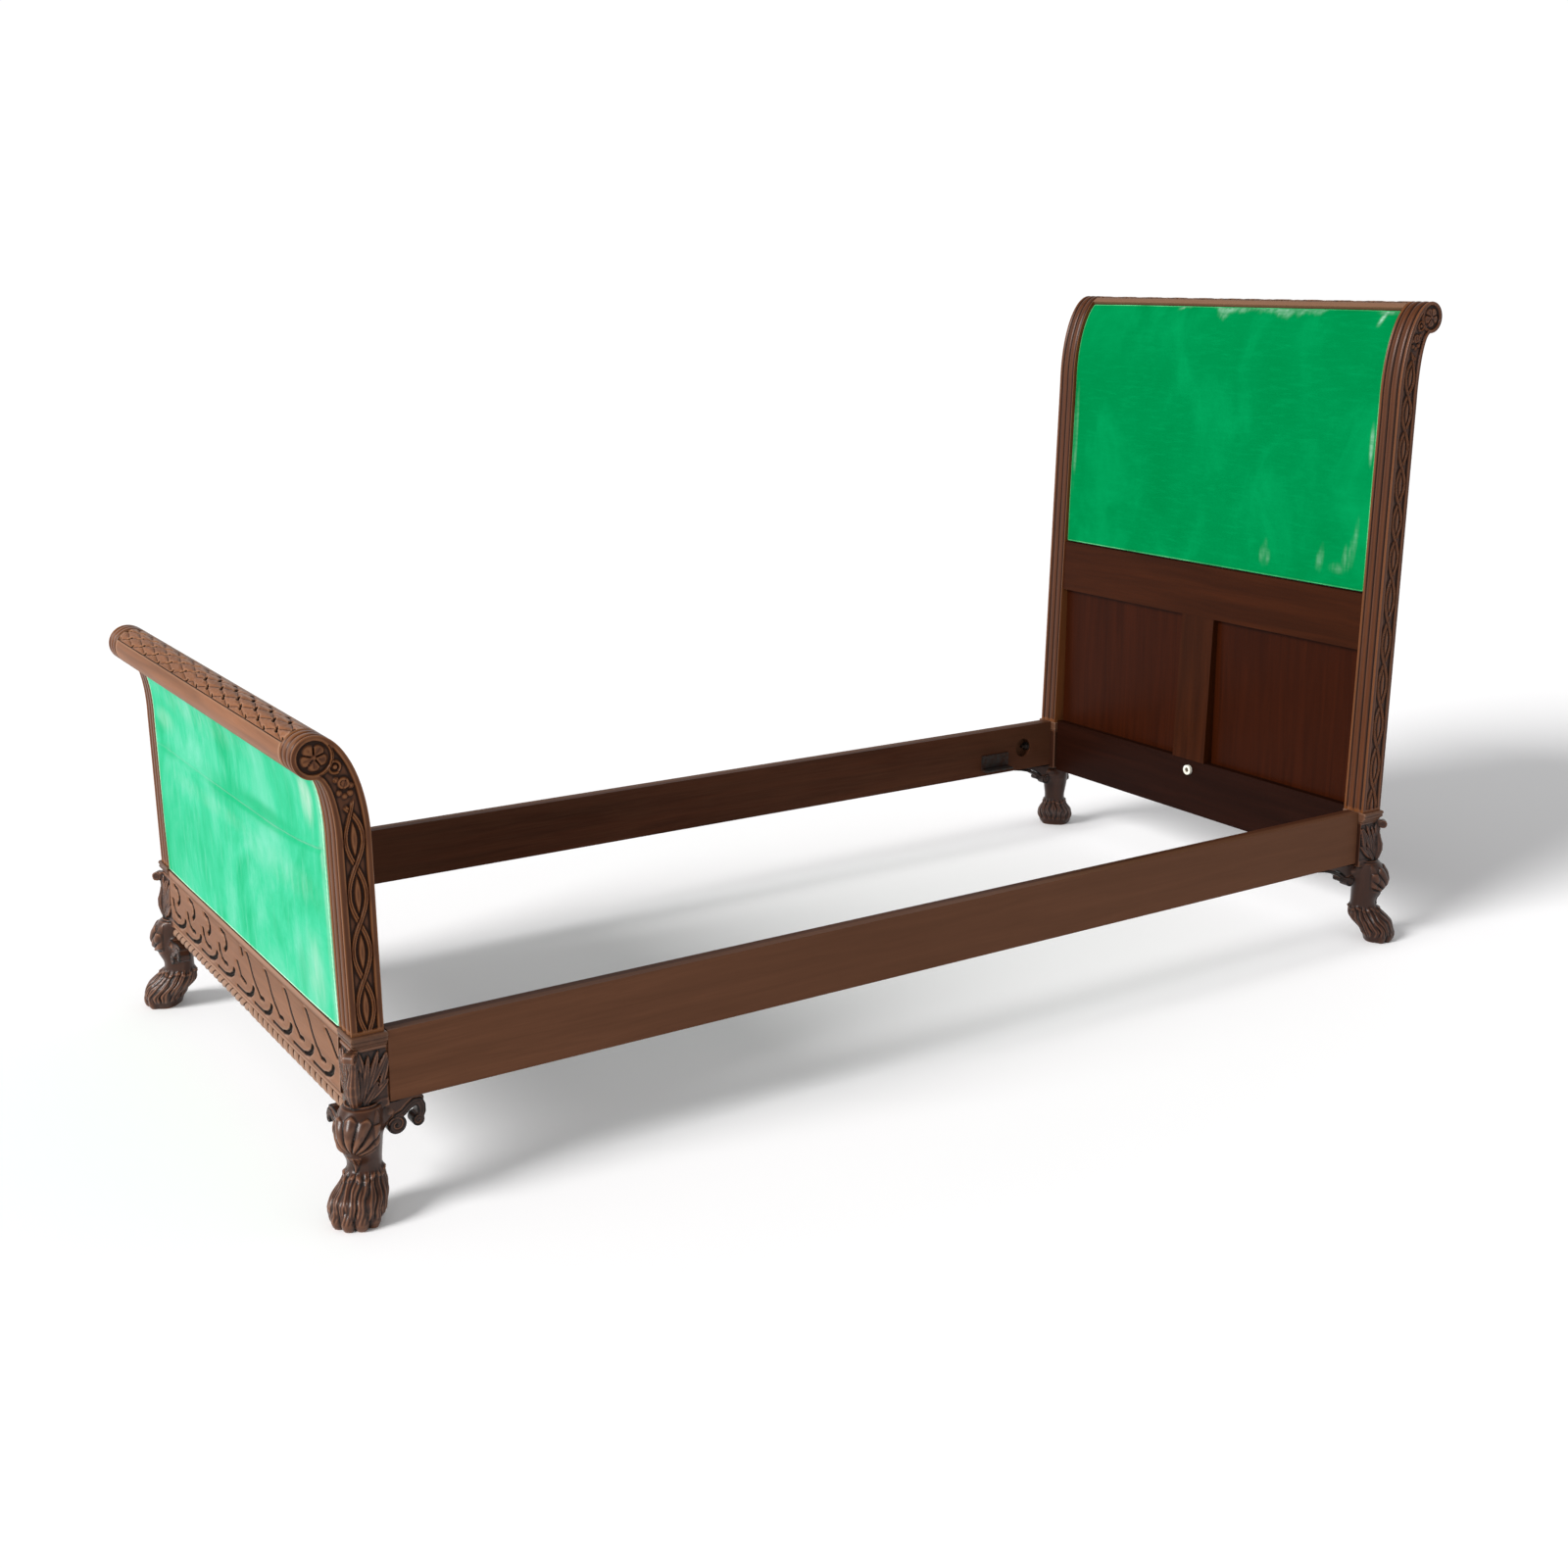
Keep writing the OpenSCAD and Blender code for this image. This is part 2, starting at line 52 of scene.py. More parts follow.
def cvx(e, t, d=0.0):
    """bed-side curve of an end, at t, d inside the timber: u and z"""
    t = np.asarray(t, float)
    d = np.asarray(d, float) + 0 * t
    q = np.clip(t - 1, 0, 1) * math.pi / 2
    a, b = e["xc"] - e["i1"], e["zc"] + e["r"] - e["z1"]
    nx, nz = -np.cos(q) / a, np.sin(q) / b
    m = np.hypot(nx, nz)
    nx, nz = nx / m, nz / m
    lean = t <= 1
    u = np.where(lean, e["i0"] + (e["i1"] - e["i0"]) * t + d, e["xc"] - a * np.cos(q) - d * nx)
    z = np.where(lean, LZ + (e["z1"] - LZ) * t, e["z1"] + b * np.sin(q) - d * nz)
    return u, z


def ccv(e, t, d=0.0):
    """outer curve of an end, at t, d inside the timber"""
    t = np.asarray(t, float)
    d = np.asarray(d, float) + 0 * t
    q = np.clip(t - 1, 0, 1) * math.pi / 2
    a, b = e["xc"] - e["o1"], e["zc"] - e["r"] - e["z1"]
    nx, nz = -np.cos(q) / a, np.sin(q) / b
    m = np.hypot(nx, nz)
    nx, nz = nx / m, nz / m
    lean = t <= 1
    u = np.where(lean, e["o0"] + (e["o1"] - e["o0"]) * t - d, e["xc"] - a * np.cos(q) + d * nx)
    z = np.where(lean, LZ + (e["z1"] - LZ) * t, e["z1"] + b * np.sin(q) + d * nz)
    return u, z


# ---------------------------------------------------------------- mesh helpers
def sm(x):
    x = np.clip(x, 0, 1)
    return x * x * (3 - 2 * x)


def bump(d, w):
    """1 at d = 0, falling smoothly to 0 at |d| = w"""
    return sm(1 - np.abs(d) / w)


def hash2(i, j, k=0):
    v = np.sin(i * 127.1 + j * 311.7 + k * 74.7) * 43758.5453
    return v - np.floor(v)


def noise2(x, y, k=0):
    xi, yi = np.floor(x), np.floor(y)
    fx, fy = sm(x - xi), sm(y - yi)
    a, b = hash2(xi, yi, k), hash2(xi + 1, yi, k)
    c, d = hash2(xi, yi + 1, k), hash2(xi + 1, yi + 1, k)
    return (a * (1 - fx) + b * fx) * (1 - fy) + (c * (1 - fx) + d * fx) * fy


def grid_faces(n, m, wrap_n=False, wrap_m=False, flip=False):
    i = np.arange(n if wrap_n else n - 1)
    j = np.arange(m if wrap_m else m - 1)
    I, J = np.meshgrid(i, j, indexing="ij")
    I2, J2 = (I + 1) % n, (J + 1) % m
    f = np.stack([I * m + J, I2 * m + J, I2 * m + J2, I * m + J2], -1).reshape(-1, 4)
    return f[:, ::-1] if flip else f


def fan(loop, centre, flip=False):
    loop = np.asarray(loop)
    nxt = np.roll(loop, -1)
    f = np.stack([loop, nxt, np.full(len(loop), centre)], -1)
    return f[:, ::-1] if flip else f


def make(name, V, Q=None, T=None, mat=None, smooth=True, hollow=0, span=0.9, angle=None, cut=None):
    """a mesh object from vertices in mm. hollow > 0 stores how deep each point lies under its surroundings, 0..1"""
    V = np.asarray(V, float)
    Q = np.zeros((0, 4), int) if Q is None else np.asarray(Q, int)
    T = np.zeros((0, 3), int) if T is None else np.asarray(T, int)
    if len(Q):
        deg = (Q[:, 0] == Q[:, 1]) | (Q[:, 1] == Q[:, 2]) | (Q[:, 2] == Q[:, 3]) | (Q[:, 3] == Q[:, 0])
        Q = Q[~deg]
    me = bpy.data.meshes.new(name)
    me.vertices.add(len(V))
    me.vertices.foreach_set("co", (V * 0.001).astype(np.float32).ravel())
    idx = np.concatenate([Q.ravel(), T.ravel()])
    tot = np.concatenate([np.full(len(Q), 4), np.full(len(T), 3)])
    start = np.concatenate([[0], np.cumsum(tot)[:-1]])
    me.loops.add(len(idx))
    me.loops.foreach_set("vertex_index", idx.astype(np.int32))
    me.polygons.add(len(tot))
    me.polygons.foreach_set("loop_start", start.astype(np.int32))
    me.polygons.foreach_set("loop_total", tot.astype(np.int32))
    me.update(calc_edges=True)
    me.validate()
    me.polygons.foreach_set("use_smooth", np.full(len(me.polygons), smooth))
    if hollow:
        add_hollow(me, hollow, span)
    if cut is not None:
        at = me.attributes.new("cut", "FLOAT", "POINT")
        at.data.foreach_set("value", np.asarray(cut, np.float32))
    o = bpy.data.objects.new(name, me)
    bpy.context.scene.collection.objects.link(o)
    if mat:
        me.materials.append(mat)
    if angle is not None:
        me.set_sharp_from_angle(angle=math.radians(angle))
    me.update()
    return o


def add_hollow(me, rounds, span):
    n = len(me.vertices)
    co = np.empty(n * 3, np.float32)
    me.vertices.foreach_get("co", co)
    co = co.reshape(-1, 3).astype(float) * 1000
    nr = np.empty(n * 3, np.float32)
    me.vertex_normals.foreach_get("vector", nr)
    nr = nr.reshape(-1, 3).astype(float)
    e = np.empty(len(me.edges) * 2, np.int32)
    me.edges.foreach_get("vertices", e)
    a, b = e.reshape(-1, 2).T
    ends, other = np.concatenate([a, b]), np.concatenate([b, a])
    deg = np.maximum(np.bincount(ends, minlength=n), 1)
    p = co.copy()
    for _ in range(rounds):
        s = np.stack([np.bincount(ends, p[other, k], n) for k in range(3)], -1)
        p = 0.4 * p + 0.6 * s / deg[:, None]
    v = ((p - co) * nr).sum(-1)
    for _ in range(1):
        v = 0.5 * v + 0.5 * np.bincount(ends, v[other], n) / deg
    at = me.attributes.new("hollow", "FLOAT", "POINT")
    at.data.foreach_set("value", np.clip(v / span, -1, 1).astype(np.float32))


def done(o, *nodes, slot=None, body="root"):
    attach(o, body)
    if nodes:
        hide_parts(*nodes)
    return o


# ---------------------------------------------------------------- materials
def srgb(r, g, b, a=1.0):
    def f(c):
        c /= 255.0
        return c / 12.92 if c <= 0.04045 else ((c + 0.055) / 1.055) ** 2.4
    return (f(r), f(g), f(b), a)


class G:
    def __init__(self, name):
        self.m = bpy.data.materials.new(name)
        self.m.use_nodes = True
        self.t = self.m.node_tree
        self.t.nodes.clear()
        self.out = self.t.nodes.new("ShaderNodeOutputMaterial")
        self.p = self.t.nodes.new("ShaderNodeBsdfPrincipled")
        self.t.links.new(self.p.outputs[0], self.out.inputs[0])

    def n(self, kind, **kw):
        x = self.t.nodes.new("ShaderNode" + kind)
        for k, v in kw.items():
            if k.startswith("in_"):
                continue
            setattr(x, k, v)
        return x

    def l(self, a, b):
        self.t.links.new(a, b)

    def coords(self, scale, rot=(0, 0, 0), warp=0.0, warp_scale=3.0):
        tc = self.n("TexCoord")
        src = tc.outputs["Object"]
        if warp:
            nz = self.n("TexNoise")
            nz.inputs["Scale"].default_value = warp_scale
            nz.inputs["Detail"].default_value = 2
            self.l(src, nz.inputs["Vector"])
            sub = self.n("VectorMath", operation="MULTIPLY_ADD")
            self.l(nz.outputs["Color"], sub.inputs[0])
            sub.inputs[1].default_value = (warp, warp, warp)
            self.l(src, sub.inputs[2])
            src = sub.outputs[0]
        mp = self.n("Mapping")
        mp.inputs["Scale"].default_value = scale
        mp.inputs["Rotation"].default_value = rot
        self.l(src, mp.inputs["Vector"])
        return mp.outputs[0]

    def noise(self, vec, scale=1.0, detail=4.0, rough=0.55, dist=0.0):
        x = self.n("TexNoise")
        x.inputs["Scale"].default_value = scale
        x.inputs["Detail"].default_value = detail
        x.inputs["Roughness"].default_value = rough
        x.inputs["Distortion"].default_value = dist
        self.l(vec, x.inputs["Vector"])
        return x.outputs["Fac"]

    def ramp(self, fac, stops):
        x = self.n("ValToRGB")
        el = x.color_ramp.elements
        el[0].position, el[0].color = stops[0]
        el[1].position, el[1].color = stops[-1]
        for p, c in stops[1:-1]:
            k = el.new(p)
            k.color = c
        self.l(fac, x.inputs[0])
        return x.outputs[0]

    def mix(self, fac, a, b, blend="MIX"):
        x = self.n("Mix", data_type="RGBA", blend_type=blend)
        for sock, v in ((x.inputs[0], fac), (x.inputs[6], a), (x.inputs[7], b)):
            if hasattr(v, "is_output"):
                self.l(v, sock)
            else:
                sock.default_value = v
        return x.outputs[2]

    def math(self, op, a, b=None, c=None, clamp=False):
        x = self.n("Math", operation=op, use_clamp=clamp)
        for i, v in enumerate((a, b, c)):
            if v is None:
                continue
            if hasattr(v, "is_output"):
                self.l(v, x.inputs[i])
            else:
                x.inputs[i].default_value = v
        return x.outputs[0]

    def span(self, v, a, b, c=0.0, d=1.0, smooth=False):
        x = self.n("MapRange", interpolation_type="SMOOTHSTEP" if smooth else "LINEAR")
        self.l(v, x.inputs[0])
        for i, k in enumerate((a, b, c, d)):
            x.inputs[i + 1].default_value = k
        return x.outputs[0]

    def attr(self, name):
        x = self.n("Attribute", attribute_name=name)
        return x.outputs["Fac"]

    def bump(self, height, strength, dist, prev=None):
        x = self.n("Bump")
        x.inputs["Strength"].default_value = strength
        x.inputs["Distance"].default_value = dist
        self.l(height, x.inputs["Height"])
        if prev is not None:
            self.l(prev, x.inputs["Normal"])
        return x.outputs[0]

    def set(self, **kw):
        for k, v in kw.items():
            s = self.p.inputs[k.replace("_", " ")]
            if hasattr(v, "is_output"):
                self.l(v, s)
            else:
                s.default_value = v


def wood(name, axis, dark, mid, light, rough=0.42, figure=0.5, hollow=False, coat=0.12, wear=0.25, hollow_shade=srgb(24, 12, 7), pores=0.5, edge=None, seed=0.0, blotch=0.5, spec=0.3, deep=0.93, outer=None):
    """polished mahogany, its grain along axis 0, 1 or 2"""
    g = G(name)
    st = [1.0, 1.0, 1.0]
    st[axis] = 0.045
    st = [s * 60 for s in st]
    v = g.coords(st, warp=0.012, warp_scale=4.0)
    fig = g.noise(v, 1.0, 6, 0.62, 0.6)
    st2 = [420.0, 420.0, 420.0]
    st2[axis] = 14.0
    v2 = g.coords(st2)
    fib = g.noise(v2, 1.0, 3, 0.6)
    v3 = g.coords([3.2 if k != axis else 1.3 for k in range(3)], warp=0.08, warp_scale=2.0)
    blt = g.noise(v3, 1.0 + seed, 4, 0.6, 0.3)
    col = g.ramp(fig, [(0.25, dark), (0.5, mid), (0.78, light)])
    if outer:
        # the outer faces of the side rails are duller and paler than the inner ones
        tc = g.n("TexCoord")
        sp = g.n("SeparateXYZ")
        g.l(tc.outputs["Object"], sp.inputs[0])
        col = g.mix(g.span(g.math("ABSOLUTE", sp.outputs[1]), 0.4425, 0.4455), col, g.ramp(fig, [(0.25, outer[0]), (0.5, outer[1]), (0.78, outer[2])]))
        far = g.mix(g.span(sp.outputs[0], -0.75, -0.1, 0.0, 0.5), col, outer[0])
        col = g.mix(g.span(g.math("ABSOLUTE", sp.outputs[1]), 0.4425, 0.4455), col, far)
        dark = outer[0]
    col = g.mix(g.span(fib, 0.3, 0.72, 0, pores), col, g.mix(0.55, col, dark), "MIX")
    col = g.mix(g.span(blt, 0.35, 0.7, blotch, 0.0), col, g.mix(0.72, col, dark), "MIX")
    rgh = g.span(blt, 0.3, 0.75, rough + 0.10, rough - 0.06)
    if hollow:
        h = g.attr("hollow")
        # painted shade: the deeper a point lies in a hollow, the more its colour is mixed towards the dark shade
        # colour, standing in for the shade that falls there
        col = g.mix(g.span(h, 0.02, 0.62, 0, deep, True), col, hollow_shade)
        # painted shadow: points marked as grooves and slots are coloured near-black for the shadow inside them
        col = g.mix(g.span(g.attr("cut"), 0.15, 0.75, 0, 0.97, True), col, tones(14, 9, 7)[1])
        if edge is not None:
            up = g.span(h, -0.10, -0.75, 0, wear, True)
            col = g.mix(up, col, edge)
        rgh = g.math("MAXIMUM", rgh, g.span(h, 0.0, 0.7, 0.30, 0.78))
    nb = g.bump(fib, 0.10, 0.0006)
    nb = g.bump(fig, 0.05, 0.0015, nb)
    g.set(Base_Color=col, Roughness=rgh, Normal=nb)
    g.p.inputs["Coat Weight"].default_value = coat * 0.35
    g.p.inputs["Coat Roughness"].default_value = 0.22
    g.p.inputs["Specular IOR Level"].default_value = spec * 0.3
    return g.m


def tones(r, g, b, e=1.0, lo=0.62, hi=1.38):
    """dark, middle and light of one timber: the colour seen, over the light it is seen in"""
    c = srgb(r, g, b)
    return tuple(tuple(min(v * k / e, 1.0) for v in c[:3]) + (1.0,) for k in (lo, 1.0, hi))


M = {}
M["rail"] = wood("rail_wood", 0, *tones(58, 28, 15, 0.95, 0.55, 1.55), rough=0.5, coat=0.0, blotch=0.8, spec=0.16, outer=tones(94, 61, 43, 0.95, 0.7, 1.28), pores=0.6)
M["panel"] = wood("panel_wood", 2, *tones(60, 23, 7, 1.8, 0.6, 1.45), rough=0.36, coat=0.03, blotch=0.35, spec=0.14)
M["flat_y"] = wood("flat_wood_across", 1, *tones(68, 31, 12, 1.8, 0.6, 1.45), rough=0.42, coat=0.03, blotch=0.45, spec=0.14)
M["bottom"] = wood("bottom_rail_wood", 1, *tones(42, 18, 10, 1.8, 0.6, 1.45), rough=0.42, coat=0.02, blotch=0.4, spec=0.12)
M["ledge"] = wood("ledge_wood", 1, *tones(150, 112, 92, 1.7, 0.7, 1.25), rough=0.42, coat=0.04, blotch=0.35, spec=0.2)
M["flat_z"] = wood("flat_wood_up", 2, *tones(64, 29, 11, 1.8, 0.6, 1.45), rough=0.40, coat=0.03, blotch=0.4, spec=0.14)
STILE_TONES = tones(108, 62, 34, 1.55, 0.55, 1.5)
M["carve_z"] = wood("carved_wood_up", 2, *STILE_TONES, rough=0.36, hollow=True, coat=0.1, edge=tones(150, 98, 60, 1.4)[1], wear=0.6, blotch=0.5, spec=0.5, deep=0.86, hollow_shade=tones(26, 14, 9, 1.2)[1])
M["carve_head"] = wood("head_stile_wood", 2, *tones(90, 47, 22, 1.65, 0.48, 1.5), rough=0.34, hollow=True, coat=0.3, edge=tones(138, 84, 46, 1.4)[1], wear=0.5, blotch=0.55, spec=0.5, deep=0.9, hollow_shade=tones(24, 12, 7, 1.2)[1])
M["carve_y"] = wood("carved_wood_across", 1, *tones(100, 70, 52, 1.3, 0.6, 1.4), rough=0.38, hollow=True, coat=0.08, edge=tones(150, 110, 84, 1.3)[1], wear=0.5, blotch=0.4, spec=0.25, deep=0.9, hollow_shade=tones(36, 22, 16, 1.2)[1])


def metal(name, base, rough=0.5, rust=srgb(70, 38, 22)):
    g = G(name)
    v = g.coords((90, 90, 90))
    a = g.noise(v, 1.0, 5, 0.65)
    col = g.mix(g.span(a, 0.42, 0.68, 0, 0.8), base, rust)
    g.set(Base_Color=col, Roughness=g.span(a, 0.3, 0.7, rough - 0.1, rough + 0.25), Normal=g.bump(a, 0.15, 0.0004))
    g.p.inputs["Metallic"].default_value = 0.85
    return g.m


M["iron"] = metal("old_iron", srgb(58, 54, 52))
M["brass"] = metal("screw_metal", srgb(120, 112, 100), 0.4, srgb(74, 60, 40))


def plain(name, base, other, rough=0.45):
    g = G(name)
    v = g.coords((140, 140, 140))
    a = g.noise(v, 1.0, 4, 0.6)
    g.set(Base_Color=g.mix(g.span(a, 0.35, 0.7), base, other), Roughness=g.span(a, 0.3, 0.7, rough, rough + 0.15), Normal=g.bump(a, 0.08, 0.0003))
    return g.m


M["disc"] = plain("white_rubber", srgb(226, 224, 214), srgb(198, 192, 176))


def velvet(name, deep, base, pale, streak, sheen, sheen_tint, rub=tones(196, 240, 214, 1.8)[1]):
    """cut pile: two nap directions, rubbed pale streaks, and worn places read from the mesh's worn attribute"""
    g = G(name)
    v = g.coords((2.2, 7.0, 5.0), rot=(0, 0, 0), warp=0.10, warp_scale=3.0)
    nap = g.noise(v, 1.0, 5, 0.6, 0.5)
    v2 = g.coords((30, 18, 130) if name == "head_velvet" else (30, 70, 14), rot=(0.0 if name == "head_velvet" else 0.4, 0, 0))
    br = g.noise(v2, 1.0, 4, 0.65, 0.2)
    v3 = g.coords((900, 900, 900))
    pile = g.noise(v3, 1.0, 2, 0.7)
    col = g.ramp(nap, [(0.30, deep), (0.5, base), (0.74, pale)])
    col = g.mix(g.span(br, 0.46, 0.74, 0, streak, True), col, pale)
    col = g.mix(g.span(pile, 0.3, 0.8, 0.16, 0.0), col, deep)
    w = g.attr("worn")
    col = g.mix(g.math("MULTIPLY", g.attr("green"), 0.75, clamp=True), col, deep)
    col = g.mix(g.math("MULTIPLY", w, g.span(br, 0.30, 0.62, 0.45, 1.0, True), clamp=True), col, rub)
    g.set(Base_Color=col, Roughness=0.85, Normal=g.bump(pile, 0.25, 0.0008, g.bump(br, 0.12, 0.002)))
    g.p.inputs["Sheen Weight"].default_value = sheen
    g.p.inputs["Sheen Roughness"].default_value = 0.45
    g.p.inputs["Sheen Tint"].default_value = sheen_tint
    g.p.inputs["Specular IOR Level"].default_value = 0.0
    return g.m


# painted light and sheen: the foot velvet is the same cloth as the head's, given paler, brighter greens for the
# stronger light and sheen on it
M["velvet_foot"] = velvet("foot_velvet", tones(18, 200, 132, 1.9)[1], tones(78, 226, 172, 1.85)[1], tones(140, 240, 206, 1.8)[1], 0.34, 0.10, srgb(190, 255, 228))
M["velvet_head"] = velvet("head_velvet", tones(0, 140, 73, 1.72)[1], tones(0, 146, 78, 1.72)[1], tones(4, 166, 94, 1.72)[1], 0.42, 0.0, srgb(120, 230, 170))
M["gimp_foot"] = velvet("foot_braid", srgb(120, 190, 150), srgb(168, 226, 188), srgb(208, 246, 220), 0.4, 0.4, srgb(210, 255, 230))
M["gimp_head"] = velvet("head_braid", srgb(10, 122, 64), srgb(40, 160, 92), srgb(120, 210, 150), 0.3, 0.2, srgb(160, 240, 190))

# ---------------------------------------------------------------- CAD nodes that stay as they are
KEEP = {
    "side_rail_near": "rail", "side_rail_far": "rail",
    "head_mid_rail": "flat_y", "head_bottom_rail": "bottom", "head_muntin": "flat_z",
    "head_panel_near": "panel", "head_panel_far": "panel",
    "head_back_panel": "flat_z", "foot_back_panel": "flat_y",
    "head_ledge_caps": "flat_y", "foot_ledge_caps": "ledge",
    "bed_bolts": "iron", "bed_bolt_nuts": "iron", "bed_bolt_washers": "iron",
    "base_lugs": "iron", "lug_screws": "iron", "bumper_disc": "disc", "bumper_screw": "brass",
    "foot_leg_near": "flat_z", "foot_leg_far": "flat_z", "head_leg_near": "flat_z", "head_leg_far": "flat_z",
    "foot_ear_brackets": "flat_y", "head_ear_brackets": "flat_y",
    "foot_stile_near": "flat_z", "foot_stile_far": "flat_z", "head_stile_near": "flat_z", "head_stile_far": "flat_z",
    "foot_crest_rail": "flat_y", "head_crest_rail": "flat_y",
    "foot_velvet_panel": "velvet_foot", "head_velvet_panel": "velvet_head",
    "foot_gimp": "gimp_foot", "head_gimp": "gimp_head",
    "foot_frieze_rail": "flat_y", "foot_gadroon": "flat_y",
}
for node, mat in KEEP.items():
    me = N[node].data
    me.materials.clear()
    me.materials.append(M[mat])

# PART2 BEGIN
# ---------------------------------------------------------------- welding and turning outwards
def weld(V, Q, T=None, data=None):
    """joins points that coincide, drops faces that have lost their area"""
    key = np.round(np.asarray(V) * 500).astype(np.int64)
    _, first, inv = np.unique(key, axis=0, return_index=True, return_inverse=True)
    inv = inv.ravel()
    V2 = np.asarray(V)[first]
    d2 = None if data is None else np.asarray(data)[first]
    quads, tris = [], []
    for F in ([] if Q is None else [np.asarray(Q)]) + ([] if T is None else [np.asarray(T)]):
        F = inv[F]
        if F.shape[1] == 3:
            ok = (F[:, 0] != F[:, 1]) & (F[:, 1] != F[:, 2]) & (F[:, 2] != F[:, 0])
            tris.append(F[ok])
            continue
        e = [F[:, k] == F[:, (k + 1) % 4] for k in range(4)]
        n = sum(x.astype(int) for x in e)
        opp = (F[:, 0] == F[:, 2]) | (F[:, 1] == F[:, 3])
        quads.append(F[(n == 0) & ~opp])
        for k in range(4):
            m = (n == 1) & e[k]
            if m.any():
                g = F[m]
                tris.append(g[:, [k, (k + 2) % 4, (k + 3) % 4]])
    Q2 = np.concatenate(quads) if quads else np.zeros((0, 4), int)
    T2 = np.concatenate(tris) if tris else np.zeros((0, 3), int)
    T2 = T2[(T2[:, 0] != T2[:, 1]) & (T2[:, 1] != T2[:, 2]) & (T2[:, 2] != T2[:, 0])]
    return (V2, Q2, T2) if data is None else (V2, Q2, T2, d2)


def outward(V, Q, T):
    """turns the faces outwards where the closed surface is inside out"""
    tri = np.concatenate([Q[:, [0, 1, 2]], Q[:, [0, 2, 3]], T]) if len(Q) else T
    a, b, c = V[tri[:, 0]], V[tri[:, 1]], V[tri[:, 2]]
    if (a * np.cross(b, c)).sum() < 0:
        return Q[:, ::-1], T[:, ::-1]
    return Q, T


def closed(name, V, Q, T=None, mat=None, cut=None, **kw):
    if cut is not None:
        V, Q, T, kw["cut"] = weld(V, Q, T, cut)
    else:
        V, Q, T = weld(V, Q, T)
    Q, T = outward(V, Q, T)
    return make(name, V, Q, T, mat, **kw)


def place(e, u, y, z):
    return np.stack([XO + e["sx"] * u, y + 0 * u, z + 0 * u], -1)


def mirror(V):
    W = np.array(V)
    W[..., 1] *= -1
    return W


# ---------------------------------------------------------------- stiles: interlaced strands, bosses, leaf, volutes and reeds
REED_CUTS = [-8.0, 8.0, 24.3, 40.0, 54.0]


def reed(yl):
    """depth of the reeded face at yl, from the outer side face"""
    yl = np.asarray(yl, float)
    out = np.full(yl.shape, 0.0)
    for a, b in zip(REED_CUTS[:-1], REED_CUTS[1:]):
        m = (yl >= a) & (yl <= b)
        fr = np.abs((yl - (a + b) / 2) / ((b - a) / 2))
        out = np.where(m, 3.4 * fr ** 3.2, out)
    return out


CROSS = {
    "foot": [75.0, 152.0, 230.0, 302.0],
    "head": [47.0, 126.0, 205.0, 285.0, 364.0, 447.0, 516.0, 584.0, 650.0, 716.0, 781.0, 843.0],
}


